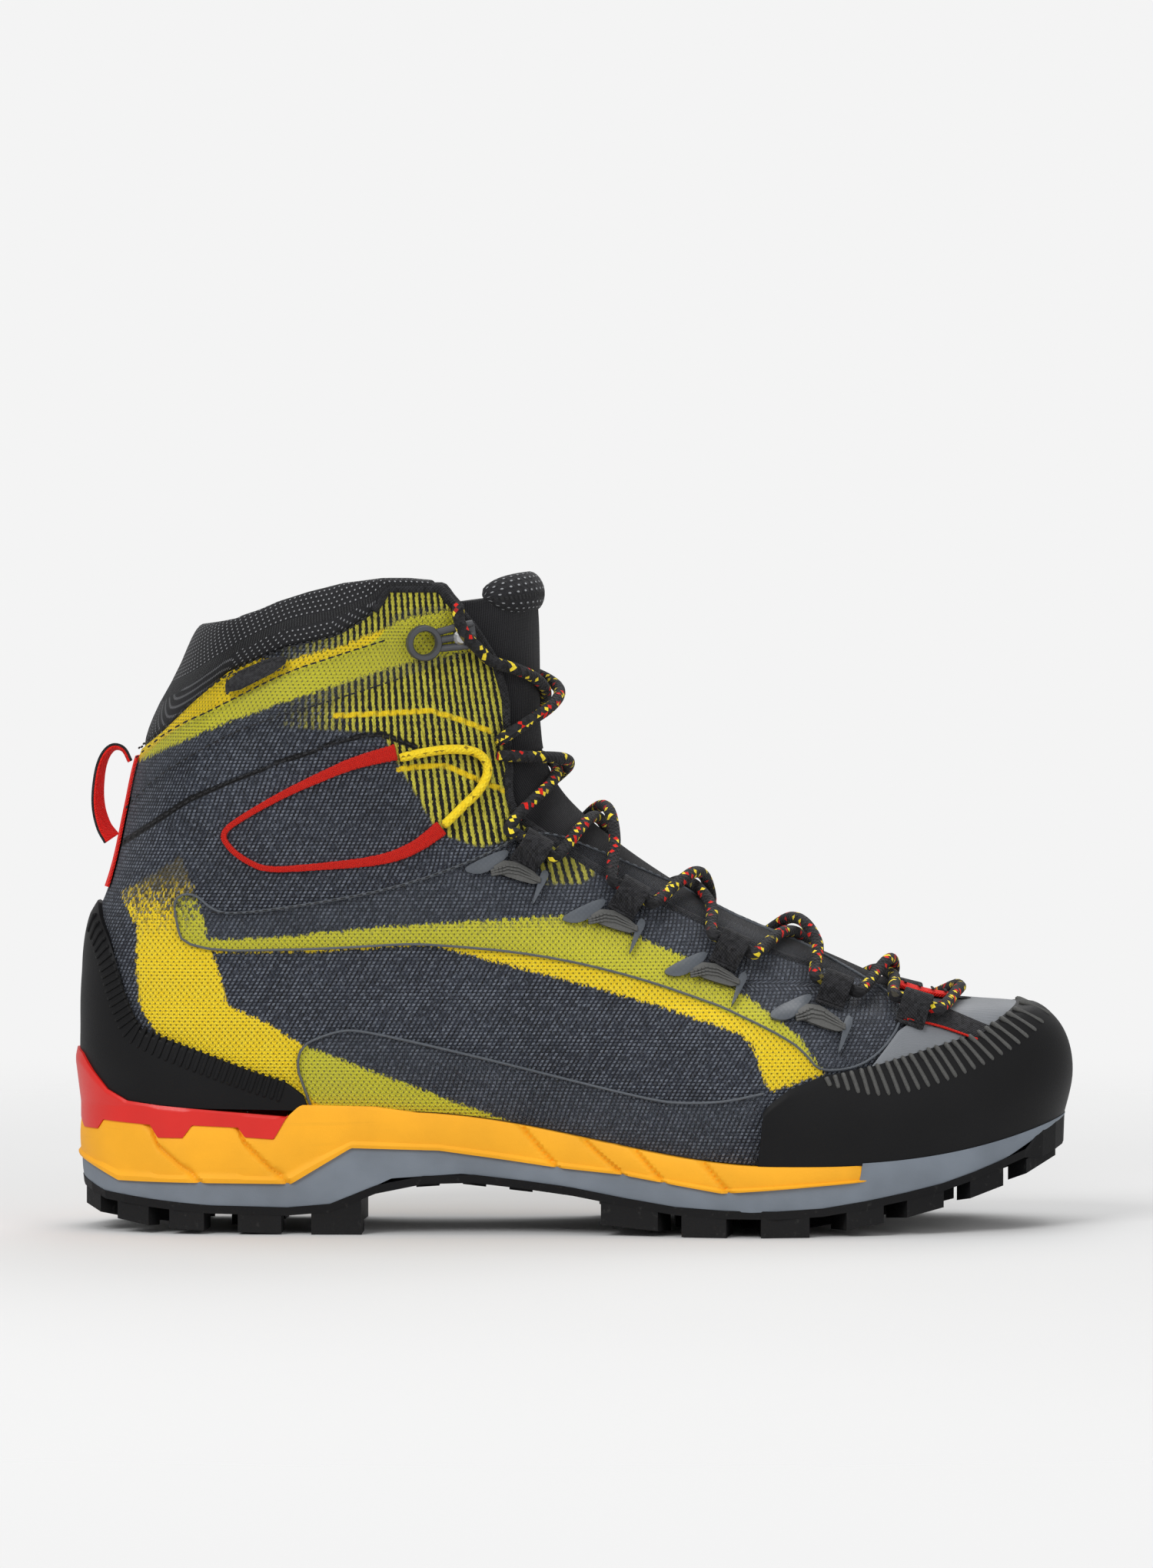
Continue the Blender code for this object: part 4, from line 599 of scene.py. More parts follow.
def patch(name, outline, side, depth, thickness, step=2.0, soften=2, drop=0.25):
    """A sheet cut to a side-view outline and laid on one side, with its rim drawn down."""
    edge = spaced(rounded(outline, soften), step, closed=True)
    low, high = edge.min(0), edge.max(0)
    gx, gz = np.meshgrid(np.arange(low[0], high[0], step), np.arange(low[1], high[1], step))
    inner = np.stack((gx.ravel(), gz.ravel()), 1)
    inner = inner[line_distance(inner, edge, True) < -0.6 * step]
    places = [Vector(place) for place in np.vstack((edge, inner))]
    sides = [(k, (k + 1) % len(edge)) for k in range(len(edge))]
    found, _, faces, _, _, _ = delaunay_2d_cdt(places, sides, [], 1, 1e-5)
    flat = np.array([tuple(place) for place in found])
    rim = np.clip(-line_distance(flat, edge, True) / 0.8, 0, 1)
    points, normals = on_side(flat[:, 0], flat[:, 1], side, depth - drop * (1 - rim))
    faces = [tuple(face) for face in faces]
    a, b, c = (points[[face[k] for face in faces]] for k in range(3))
    facing = np.einsum("ij,ij->i", np.cross(b - a, c - a), normals[[face[0] for face in faces]])
    faces = [face if good > 0 else face[::-1] for face, good in zip(faces, facing)]
    return thickened(new_object(name, points, faces, flat), thickness)


def joined(name, objects):
    """Several plain meshes as one object."""
    shape = bmesh.new()
    for obj in objects:
        shape.from_mesh(obj.data)
    mesh = bpy.data.meshes.new(name)
    shape.to_mesh(mesh)
    shape.free()
    for obj in objects:
        bpy.data.objects.remove(obj, do_unlink=True)
    mesh.shade_smooth()
    made = bpy.data.objects.new(name, mesh)
    bpy.context.scene.collection.objects.link(made)
    return made


def smooth_path(points, per_span):
    """Points on a smooth curve through the route's own points, without overshoot."""
    points = np.array(points, float)
    ends = np.vstack((points[0] * 2 - points[1], points, points[-1] * 2 - points[-2]))
    headings = unit(ends[2:] - ends[:-2])
    path = []
    for k in range(len(points) - 1):
        reach = np.linalg.norm(points[k + 1] - points[k])
        for t in np.arange(per_span) / per_span:
            path.append(points[k] * (2 * t ** 3 - 3 * t ** 2 + 1)
                        + headings[k] * reach * (t ** 3 - 2 * t ** 2 + t)
                        + points[k + 1] * (3 * t ** 2 - 2 * t ** 3)
                        + headings[k + 1] * reach * (t ** 3 - t ** 2))
    return np.array(path + [points[-1]])


def tube(name, path, radius, around=14):
    """A round cord along a path, closed at both ends, with cloth coordinates along it."""
    path = np.asarray(path, float)
    ahead = unit(np.gradient(path, axis=0))
    side = np.cross(ahead[0], (0.0, 0.0, 1.0))
    if np.linalg.norm(side) < 0.1:
        side = np.cross(ahead[0], (0.0, 1.0, 0.0))
    side = unit(side)
    frames = []
    for heading in ahead:
        side = unit(side - heading * (side @ heading))
        frames.append((side, np.cross(heading, side)))
    reach = np.concatenate(((0,), np.cumsum(np.linalg.norm(np.diff(path, axis=0), axis=1))))
    turn = np.linspace(0, 2 * math.pi, around + 1)
    points, uv = [], []
    for k in range(len(path)):
        end = min(k, len(path) - 1 - k)
        size = radius * (0.82 if end == 0 else 1.0)
        for angle in turn:
            a, b = frames[k]
            points.append(path[k] + (a * math.cos(angle) + b * math.sin(angle)) * size)
            uv.append((reach[k], angle * radius))
    count = around + 1
    faces = [(i * count + j, i * count + j + 1, (i + 1) * count + j + 1, (i + 1) * count + j)
             for i in range(len(path) - 1) for j in range(around)]
    first = list(range(around))
    final = [(len(path) - 1) * count + j for j in range(around)]
    faces += [tuple(reversed(first)), tuple(final)]
    obj = new_object(name, points, faces, uv)
    return outward(merged(obj))


# ---------------------------------------------------------------- repeats in Geometry Nodes

def stud_tree():
    """A tree that lays a rounded bar on every point, along and out as the point's marks say."""
    known = bpy.data.node_groups.get("laid_bars")
    if known:
        return known
    tree = bpy.data.node_groups.new("laid_bars", "GeometryNodeTree")
    face = tree.interface
    face.new_socket("Geometry", in_out="INPUT", socket_type="NodeSocketGeometry")
    for name in ("Width", "Height", "Jitter"):
        face.new_socket(name, in_out="INPUT", socket_type="NodeSocketFloat")
    face.new_socket("Seed", in_out="INPUT", socket_type="NodeSocketInt")
    face.new_socket("Finish", in_out="INPUT", socket_type="NodeSocketMaterial")
    face.new_socket("Geometry", in_out="OUTPUT", socket_type="NodeSocketGeometry")
    nodes, links = tree.nodes, tree.links

    def add(kind, **settings):
        made = nodes.new(kind)
        for key, value in settings.items():
            setattr(made, key, value)
        return made

    entry, out = add("NodeGroupInput"), add("NodeGroupOutput")
    cube = add("GeometryNodeMeshCube")
    cube.inputs["Vertices X"].default_value = 5
    cube.inputs["Size"].default_value = (1.0, 1.12, 1.12)
    soft = add("GeometryNodeSubdivisionSurface")
    soft.inputs["Level"].default_value = 1
    along = add("GeometryNodeInputNamedAttribute", data_type="FLOAT_VECTOR")
    along.inputs["Name"].default_value = "along"
    away = add("GeometryNodeInputNamedAttribute", data_type="FLOAT_VECTOR")
    away.inputs["Name"].default_value = "away"
    reach = add("GeometryNodeInputNamedAttribute", data_type="FLOAT")
    reach.inputs["Name"].default_value = "reach"
    turn = add("FunctionNodeAxesToRotation", primary_axis="X", secondary_axis="Z")
    chance = add("FunctionNodeRandomValue", data_type="FLOAT")
    chance.inputs[2].default_value = 0.0
    chance.inputs[3].default_value = 1.0
    vary = add("ShaderNodeMath", operation="MULTIPLY_ADD")
    size = add("ShaderNodeCombineXYZ")
    length = add("ShaderNodeMath", operation="MULTIPLY")
    place = add("GeometryNodeInstanceOnPoints")
    real = add("GeometryNodeRealizeInstances")
    paint = add("GeometryNodeSetMaterial")
    links.new(cube.outputs["Mesh"], soft.inputs["Mesh"])
    links.new(entry.outputs["Seed"], chance.inputs["Seed"])
    links.new(chance.outputs[1], vary.inputs[0])
    links.new(entry.outputs["Jitter"], vary.inputs[1])
    vary.inputs[2].default_value = 1.0
    links.new(reach.outputs[0], length.inputs[0])
    links.new(vary.outputs[0], length.inputs[1])
    links.new(length.outputs[0], size.inputs[0])
    links.new(entry.outputs["Width"], size.inputs[1])
    links.new(entry.outputs["Height"], size.inputs[2])
    links.new(along.outputs[0], turn.inputs[0])
    links.new(away.outputs[0], turn.inputs[1])
    links.new(entry.outputs["Geometry"], place.inputs["Points"])
    links.new(soft.outputs["Mesh"], place.inputs["Instance"])
    links.new(turn.outputs[0], place.inputs["Rotation"])
    links.new(size.outputs[0], place.inputs["Scale"])
    links.new(place.outputs[0], real.inputs[0])
    links.new(real.outputs[0], paint.inputs["Geometry"])
    links.new(entry.outputs["Finish"], paint.inputs["Material"])
    links.new(paint.outputs[0], out.inputs[0])
    return tree


def laid_bars(name, places, along, away, reach, width, height, finish, jitter=0.0):
    """Bars or stitches as one plain mesh; places, along and away hold a row for each bar."""
    mesh = bpy.data.meshes.new(name)
    mesh.from_pydata([tuple(place) for place in np.asarray(places) * MM], [], [])
    for key, kind, values in (("along", "FLOAT_VECTOR", along), ("away", "FLOAT_VECTOR", away)):
        mark = mesh.attributes.new(key, kind, "POINT")
        mark.data.foreach_set("vector", np.asarray(values, np.float32).ravel())
    mark = mesh.attributes.new("reach", "FLOAT", "POINT")
    mark.data.foreach_set("value", (np.broadcast_to(reach, len(places)) * MM).astype(np.float32))
    obj = bpy.data.objects.new(name, mesh)
    bpy.context.scene.collection.objects.link(obj)
    tree = stud_tree()
    step = obj.modifiers.new("bars", "NODES")
    step.node_group = tree
    values = {"Width": width * MM, "Height": height * MM, "Jitter": jitter, "Seed": BAR_SEED,
              "Finish": finish}
    for socket in tree.interface.items_tree:
        if socket.in_out == "INPUT" and socket.name in values:
            step[socket.identifier] = values[socket.name]
    baked(obj)
    return obj


def across_bars(path, side, depth, step, width_of):
    """Places for bars laid across a side-view path, as in satin stitch or a ribbed strip."""
    spots = spaced(path, step)
    points, normals = on_side(spots[:, 0], spots[:, 1], side, depth)
    ahead = unit(np.gradient(points, axis=0))
    across = unit(np.cross(normals, ahead))
    share = np.linspace(0, 1, len(spots))
    return points, across, normals, np.array([width_of(t) for t in share])


def running_bars(path, side, depth, pitch, length):
    """Places for stitches laid end to end along a side-view path."""
    spots = spaced(path, pitch)
    points, normals = on_side(spots[:, 0], spots[:, 1], side, depth)
    ahead = unit(np.gradient(points, axis=0))
    return points, ahead, normals, np.full(len(spots), length)


# ---------------------------------------------------------------- finishes

class Value:
    """A shader socket that can stand in sums, products and comparisons."""

    def __init__(self, graph, socket):
        self.graph, self.socket = graph, socket

    def calc(self, operation, *others):
        return self.graph.math(operation, self, *others)

    def __add__(self, other):
        return self.calc("ADD", other)

    def __radd__(self, other):
        return self.calc("ADD", other)

    def __sub__(self, other):
        return self.calc("SUBTRACT", other)

    def __rsub__(self, other):
        return self.graph.math("SUBTRACT", other, self)

    def __mul__(self, other):
        return self.calc("MULTIPLY", other)

    def __rmul__(self, other):
        return self.calc("MULTIPLY", other)

    def __truediv__(self, other):
        return self.calc("DIVIDE", other)

    def __rtruediv__(self, other):
        return self.graph.math("DIVIDE", other, self)

    def __pow__(self, other):
        return self.calc("POWER", other)

    def __abs__(self):
        return self.calc("ABSOLUTE")

    def __mod__(self, other):
        return self.calc("FLOORED_MODULO", other)

    def floor(self):
        return self.calc("FLOOR")

    def fract(self):
        return self.calc("FRACT")

    def sine(self):
        return self.calc("SINE")

    def least(self, other):
        return self.calc("MINIMUM", other)

    def fade(self, low, high):
        """0 at low, 1 at high, smooth between; low may be the larger one."""
        settings = {"interpolation_type": "SMOOTHSTEP", "clamp": True}
        ends = {"Value": self, "From Min": low, "From Max": high, "To Min": 0.0, "To Max": 1.0}
        return self.graph.node("ShaderNodeMapRange", settings, ends)


class Finish:
    """One material and the nodes that lead to its shader."""

    def __init__(self, name, roughness, **constants):
        self.material = bpy.data.materials.new(name)
        self.material.use_nodes = True
        self.tree = self.material.node_tree
        self.shader = self.tree.nodes["Principled BSDF"]
        self.shader.inputs["Roughness"].default_value = roughness
        for key, value in constants.items():
            self.shader.inputs[key.replace("_", " ")].default_value = value

    def put(self, socket, value):
        if isinstance(value, Value):
            self.tree.links.new(value.socket, socket)
        else:
            socket.default_value = value

    def node(self, kind, settings=None, inputs=None, output=0):
        made = self.tree.nodes.new(kind)
        for key, value in (settings or {}).items():
            setattr(made, key, value)
        for key, value in (inputs or {}).items():
            self.put(made.inputs[key], value)
        return Value(self, made.outputs[output])

    def math(self, operation, *values):
        return self.node("ShaderNodeMath", {"operation": operation}, dict(enumerate(values)))

    def cloth(self):
        """Cloth coordinates in millimetres, along and up."""
        uv = self.node("ShaderNodeUVMap", {"uv_map": "cloth"})
        parts = self.node("ShaderNodeSeparateXYZ", None, {0: uv})
        up = Value(self, parts.socket.node.outputs[1])
        return parts * 1000.0, up * 1000.0

    def place(self):
        """Object coordinates in millimetres."""
        coordinates = self.node("ShaderNodeTexCoord", None, None, "Object")
        return self.node("ShaderNodeVectorMath", {"operation": "SCALE"}, {0: coordinates, "Scale": 1000.0})

    def parts(self, vector):
        split = self.node("ShaderNodeSeparateXYZ", None, {0: vector}).socket.node
        return [Value(self, split.outputs[k]) for k in range(3)]

    def mark(self, name):
        return self.node("ShaderNodeAttribute", {"attribute_name": name}, None, "Fac")

    def vector(self, *values):
        return self.node("ShaderNodeCombineXYZ", None, dict(enumerate(values)))

    def noise(self, vector, scale, detail=2.0, roughness=0.5):
        return self.node("ShaderNodeTexNoise", None,
                         {"Vector": vector, "Scale": scale, "Detail": detail, "Roughness": roughness})

    def chance(self, *values):
        return self.node("ShaderNodeTexWhiteNoise", {"noise_dimensions": "3D"},
                         {"Vector": self.vector(*values)})

    def mix(self, share, a, b):
        colours = [value if isinstance(value, Value) else (*value[:3], 1.0) for value in (a, b)]
        return self.node("ShaderNodeMix", {"data_type": "RGBA"},
                         {0: share, 6: colours[0], 7: colours[1]}, 2)

    def colour(self, value):
        self.put(self.shader.inputs["Base Color"], value if isinstance(value, Value) else (*value[:3], 1.0))
        return self

    def rough(self, value):
        self.put(self.shader.inputs["Roughness"], value)
        return self

    def bump(self, height, distance, strength=1.0):
        normal = self.node("ShaderNodeBump", None,
                           {"Height": height, "Distance": distance * MM, "Strength": strength})
        self.put(self.shader.inputs["Normal"], normal)
        return self

    def alpha(self, value):
        self.put(self.shader.inputs["Alpha"], value)
        return self


FINISHES = {}


def finish_of(name):
    if name not in FINISHES:
        FINISHES[name] = globals()["finish_" + name](bpy.context.scene.boot_looks).material
    return FINISHES[name]


def knit_cells(u, v, gauge):
    """Rows of small leaning stitches: the height of a stitch, and the whole numbers that name it."""
    column = u / gauge
    lean = abs(column.fract() - 0.5) * 0.9
    row = v / (gauge * 0.85) + lean
    round_up = (row.fract() * math.pi).sine()
    wale = 1.0 - abs((column * 2.0).fract() - 0.5) * 1.5
    return round_up * wale, (column * 2.0).floor(), row.floor()


def finish_knit(looks):
    f = Finish("knit", 0.85, Sheen_Weight=0.05, Sheen_Roughness=0.4, Specular_IOR_Level=0.2)
    u, _ = f.cloth()
    x, _, z = f.parts(f.place())
    height, column, row = knit_cells(u, z, looks.knit_gauge)
    pick = f.chance(column, row, 3.0)
    drift = f.noise(f.place(), 0.05, 3.0)
    ragged = (pick - 0.5) * 1.2
    yellow = (f.mark("yellow") + ragged).fade(0.35, -0.35)
    haze = (f.mark("level") + (pick - 0.5) * 12.0).fade(104.0, 92.0)
    low = (f.mark("level") - 118.0).fade(6.0, 0.0)
    yellow = yellow * (1.0 - low * (1.0 - haze) * 0.95)
    second = f.chance(row, column, 9.0)
    yarn = ((column + row) % 2.0) * 0.55 + second * 0.45
    dark = f.mix(yarn, looks.black_thread, f.mix(drift.fade(0.3, 0.7), looks.knit_dark, looks.knit_blue))
    dark = f.mix(pick.fade(0.90, 0.97) * 0.12, dark, looks.knit_fleck)
    # Painted highlight: a pale spot on every stitch of the dark knit stands for the light on the stitch, stronger on
    # some stitches at random.
    course = (z / 1.05).floor()
    slip = (u / 1.45 + course * 0.37).fract() - 0.5
    rise = (z / 1.05).fract() - 0.5
    bright_yarn = f.chance((u / 1.45 + course * 0.37).floor(), course, 5.0)
    stitch = abs(slip + rise * 0.4).fade(0.34, 0.18) * abs(rise).fade(0.44, 0.22)
    dark = f.mix(stitch * (0.14 + bright_yarn * 0.46), dark, looks.knit_fleck)
    filmed = f.mark("filmed").fade(0.3, -0.3)
    bright = f.mix(second * 0.6, looks.knit_yellow, looks.knit_lemon)
    # Painted highlight: the raised crown of each yellow stitch is mixed towards a pale cream.
    bright = f.mix(height.fade(0.6, 0.95) * 0.25, bright, (0.98, 0.86, 0.30))
    bright = f.mix(filmed * 0.9, bright, looks.knit_filmed)
    step = 1.75
    line = (z / (step * 0.6)).floor()
    du = (u / step + (line % 2.0) * 0.5).fract() - 0.5
    dv = ((z / (step * 0.6)).fract() - 0.5) * 0.6
    hole = ((du * du + dv * dv) ** 0.5).fade(0.20, 0.10)
    bright = f.mix(hole * 0.75, bright, (0.10, 0.09, 0.02))
    base = f.mix(yellow, dark, bright)
    fan = (x + (z - 150.0) * (x + 75.0) * 0.0035) / looks.rib_pitch
    rib = 1.0 - abs(fan.fract() - 0.5) * 2.0
    twist = ((z * 0.9 + rib * 0.8).fract() - 0.5) * 0.24
    stripe = (rib + twist + (pick - 0.5) * 0.30).fade(0.42, 0.60)
    inside = f.mark("stretch").fade(0.6, -0.6)
    reach = (x + (pick - 0.5) * 10.0).fade(-90.0, -62.0)
    ribs_here = inside * (1.0 - yellow) * reach
    lime = f.mix(second, looks.rib_lime, looks.rib_olive)
    base = f.mix(ribs_here, base, f.mix(stripe, looks.black_thread, lime))
    arc = f.mark("arc").fade(1.1, 0.6)
    base = f.mix(arc * 0.85, base, looks.knit_yellow)
    seam = f.mark("seam").fade(1.1, 0.7)
    base = f.mix(seam, base, looks.black_thread)
    f.colour(base)
    relief = (height * (1.0 - ribs_here * 0.5) - hole * yellow * 0.8
              + rib * ribs_here * 1.5 + arc * 0.7 - seam * 0.9)
    return f.bump(relief, 0.38, 1.0)


def finish_mesh_cloth(looks):
    f = Finish("mesh_cloth", 0.9, Sheen_Weight=0.06, Sheen_Roughness=0.4, Specular_IOR_Level=0.2)
    u, v = f.cloth()
    pitch = looks.mesh_pitch
    row = (v / (pitch * 0.87)).floor()
    cu = (u / pitch + (row % 2.0) * 0.5).fract() - 0.5
    cv = (v / (pitch * 0.87)).fract() - 0.5
    spot = (cu * cu + cv * cv) ** 0.5
    dot = spot.fade(0.20, 0.12)
    tone = f.noise(f.place(), 0.08, 2.0)
    cloth = f.mix(tone, looks.mesh_black, (0.03, 0.03, 0.033))
    f.colour(f.mix(dot * 0.75, cloth, looks.mesh_dot))
    weave = (u * 5.0).sine() * (v * 5.0).sine()
    return f.bump(dot * 0.9 - spot.fade(0.34, 0.44) * 0.8 + weave * 0.15, 0.3, 0.9)


def finish_tongue_cloth(looks):
    f = Finish("tongue_cloth", 0.9, Sheen_Weight=0.06, Sheen_Roughness=0.4, Specular_IOR_Level=0.2)
    u, v = f.cloth()
    rib = abs((u / 0.75).fract() - 0.5) * 2.0
    loop = abs((v / 0.9 + rib * 0.3).fract() - 0.5) * 2.0
    tone = f.noise(f.place(), 0.12, 3.0)
    # Painted highlight: the raised crest of each rib is lighter, with some random tone mixed in.
    f.colour(f.mix(rib * 0.7 + tone * 0.3, (0.006, 0.006, 0.007), (0.034, 0.034, 0.037)))
    return f.bump(rib + loop * 0.4, 0.25, 0.8)


def finish_rib_rubber(looks):
    f = Finish("rib_rubber", 0.6, Specular_IOR_Level=0.45)
    place = f.place()
    fine = f.noise(place, 2.2, 3.0, 0.6)
    f.colour(f.mix(fine, (0.035, 0.035, 0.033), (0.12, 0.12, 0.115)))
    f.rough(0.5 + fine * 0.2)
    return f.bump(fine, 0.1, 0.5)


def finish_lining(looks):
    f = Finish("lining", 0.95, Sheen_Weight=0.3, Specular_IOR_Level=0.2)
    u, v = f.cloth()
    holes = ((u * 2.6).sine() * (v * 2.6).sine()).fade(0.35, 0.75)
    tone = f.noise(f.place(), 0.1, 2.0)
    cloth = f.mix(tone, (0.028, 0.028, 0.03), (0.05, 0.05, 0.054))
    f.colour(f.mix(holes * 0.8, cloth, (0.008, 0.008, 0.008)))
    return f.bump(holes * -1.0, 0.3, 0.7)


def film_finish(name, colour, cover, roughness):
    """A thin moulded skin that lets the knit show through."""
    f = Finish(name, roughness, Specular_IOR_Level=0.25, Coat_Weight=0.06, Coat_Roughness=0.35)
    place = f.place()
    grain = f.noise(place, 2.4, 2.0)
    cloud = f.noise(place, 0.06, 3.0)
    u, v = f.cloth()
    cell = ((u * 4.2).sine() * (v * 4.2).sine()).fade(-0.2, 0.6)
    f.colour(f.mix(cloud, colour, tuple(value * 1.35 + 0.01 for value in colour)))
    f.alpha(cover + cell * 0.05 + (cloud - 0.5) * 0.05)
    f.rough(grain * 0.2 + (roughness - 0.08))
    return f.bump(grain * 0.5 + cell * 0.5, 0.12, 0.6)


def finish_film(looks):
    return film_finish("film", looks.film_tint, looks.film_cover, 0.42)


def finish_tab_plastic(looks):
    return film_finish("tab_plastic", (0.085, 0.095, 0.11), 0.78, 0.32)


def finish_toe_film(looks):
    return film_finish("toe_film", (0.16, 0.17, 0.185), 0.93, 0.5)


def finish_rubber(looks):
    f = Finish("rubber", 0.62, Specular_IOR_Level=0.12)
    place = f.place()
    fine = f.noise(place, 1.6, 4.0, 0.6)
    broad = f.noise(place, 0.035, 3.0)
    dust = f.noise(place, 0.5, 3.0).fade(0.60, 0.78)
    _, _, z = f.parts(place)
    worn = z.fade(14.0, 0.0) * 0.55
    base = f.mix(broad, looks.rubber, tuple(value * 1.9 for value in looks.rubber))
    f.colour(f.mix(dust * 0.10 + worn * fine * 0.12, base, (0.16, 0.155, 0.145)))
    f.rough(0.5 + fine * 0.18 + worn * 0.12)
    return f.bump(fine, 0.16, 0.5)


def finish_rand(looks):
    f = Finish("rand", 0.5, Specular_IOR_Level=0.14)
    place = f.place()
    fine = f.noise(place, 2.2, 3.0, 0.6)
    broad = f.noise(place, 0.04, 2.0)
    f.colour(f.mix(broad, looks.rubber, tuple(value * 1.7 for value in looks.rubber)))
    f.rough(0.42 + fine * 0.2)
    return f.bump(fine, 0.1, 0.45)


def foam_finish(name, colour, shade):
    f = Finish(name, 0.6, Specular_IOR_Level=0.35)
    place = f.place()
    pores = f.noise(place, 2.8, 3.0, 0.7)
    skin = f.noise(place, 0.05, 3.0)
    x, y, z = f.parts(place)
    crease = f.noise(f.vector(x * 0.02, y * 0.02, z * 0.35), 1.0, 3.0, 0.7)
    base = f.mix(skin.fade(0.3, 0.7), colour, shade)
    f.colour(f.mix(pores.fade(0.62, 0.74) * 0.35 + crease.fade(0.6, 0.7) * 0.15, base,
                   tuple(value * 0.72 for value in colour)))
    f.rough(0.5 + pores * 0.22)
    return f.bump(pores * 0.7 + crease * 0.5, 0.14, 0.55)


def finish_yellow_foam(looks):
    return foam_finish("yellow_foam", looks.midsole_yellow, tuple(v * 0.9 for v in looks.midsole_yellow))


def finish_grey_foam(looks):
    return foam_finish("grey_foam", looks.midsole_grey, tuple(v * 0.8 for v in looks.midsole_grey))


def finish_red_plastic(looks):
    f = Finish("red_plastic", 0.4, Specular_IOR_Level=0.5)
    place = f.place()
    fine = f.noise(place, 1.8, 3.0)
    broad = f.noise(place, 0.06, 2.0)
    f.colour(f.mix(broad, looks.red, tuple(value * 0.8 for value in looks.red)))
    f.rough(0.3 + fine * 0.2)
    return f.bump(fine, 0.08, 0.4)


def cloth_finish(name, colour, light, pitch, ribs=1.0):
    """Close woven tape: ribs across its length with a fine over and under."""
    f = Finish(name, 0.85, Sheen_Weight=0.04, Specular_IOR_Level=0.2)
    x, y, z = f.parts(f.place())
    p = x / pitch
    q = (z + y * 0.6) / pitch
    weave = (p * math.tau).sine() * (q * math.tau).sine()
    pick = f.chance(p.floor(), q.floor(), 2.0)
    # Painted highlight: the raised crossings of the weave are lighter; the random pick per cell is the yarn's own
    # tone.
    f.colour(f.mix(pick * 0.55 + weave.fade(-0.4, 0.9) * 0.3, colour, light))
    return f.bump(weave * ribs, 0.22, 0.8)


def finish_webbing(looks):
    return cloth_finish("webbing", (0.010, 0.010, 0.011), (0.05, 0.05, 0.055), 0.9)


def finish_red_webbing(looks):
    light = tuple(min(value * 1.5 + 0.01, 1.0) for value in looks.red)
    return cloth_finish("red_webbing", looks.red, light, 0.8)


def finish_tag_cloth(looks):
    return cloth_finish("tag_cloth", (0.02, 0.02, 0.022), (0.07, 0.07, 0.075), 0.6)


def finish_thread(looks):
    return cloth_finish("thread", looks.black_thread, (0.06, 0.06, 0.065), 0.5)


def finish_red_thread(looks):
    return cloth_finish("red_thread", looks.red, (0.86, 0.03, 0.012), 0.45)


def braid(name, base, light, flecks, radius):
    """A round braid: slanted strands both ways, some of them coloured."""
    f = Finish(name, 0.8, Sheen_Weight=0.04, Specular_IOR_Level=0.25)
    u, v = f.cloth()
    turns = 6.0
    around = v / (math.tau * radius) * turns
    run = u / 1.7
    left, right = run + around, run - around
    one = left.fract() - 0.5
    two = right.fract() - 0.5
    height = 1.0 - (abs(one) * 2.0).least(abs(two) * 2.0)
    cell = f.chance(left.floor(), right.floor() % turns, 4.0)
    base = f.mix(cell * 0.6, base, light)
    for low, high, colour in flecks:
        base = f.mix(cell.fade(low - 0.005, low) * cell.fade(high, high - 0.005), base, colour)
    f.colour(base)
    return f.bump(height * -1.0, 0.35, 0.9)


def finish_lace(looks):
    flecks = ((0.84, 0.91, looks.knit_lemon), (0.92, 0.97, looks.red))
    return braid("lace", (0.008, 0.008, 0.009), (0.04, 0.04, 0.045), flecks, LACE_RADIUS)


def finish_cord(looks):
    return braid("cord", looks.knit_yellow, looks.knit_lemon, ((0.86, 0.9, (0.3, 0.2, 0.01)),), CORD_RADIUS)


def finish_hook_plastic(looks):
    f = Finish("hook_plastic", 0.38, Specular_IOR_Level=0.5)
    place = f.place()
    fine = f.noise(place, 2.5, 3.0)
    f.colour(f.mix(f.noise(place, 0.2, 2.0), (0.035, 0.036, 0.04), (0.07, 0.072, 0.08)))
    f.rough(0.28 + fine * 0.22)
    return f.bump(fine, 0.06, 0.5)


def finish_board(looks):
    return cloth_finish("board", (0.35, 0.30, 0.20), (0.5, 0.44, 0.32), 1.5, 0.3)


def finish_steel(looks):
    f = Finish("steel", 0.35, Metallic=1.0)
    x, y, z = f.parts(f.place())
    brush = f.noise(f.vector(x * 0.05, y * 3.0, z * 3.0), 1.0, 3.0)
    f.colour(f.mix(brush, (0.42, 0.42, 0.43), (0.6, 0.6, 0.6)))
    f.rough(0.25 + brush * 0.2)
    return f.bump(brush, 0.03, 0.4)


def finish_footbed(looks):
    return cloth_finish("footbed", (0.06, 0.06, 0.07), (0.16, 0.16, 0.18), 1.1, 0.6)


def finish_stiffener(looks):
    return foam_finish("stiffener", (0.5, 0.48, 0.42), (0.42, 0.40, 0.35))


def finish_floor(looks):
    f = Finish("floor", 0.9, Specular_IOR_Level=0.1)
    place = f.place()
    x, y, _ = f.parts(place)
    f.colour(f.mix(f.noise(place, 0.004, 2.0), (0.70, 0.70, 0.70), (0.72, 0.72, 0.72)))
    radius = (x * x + y * y) ** 0.5
    f.alpha(radius.fade(900.0, 260.0))
    return f


# ---------------------------------------------------------------- sizes and colours a user may change

def colour_property(name, text, default):
    return FloatVectorProperty(name=name, description=text, subtype="COLOR", size=3, min=0.0, max=1.0,
                               default=default)


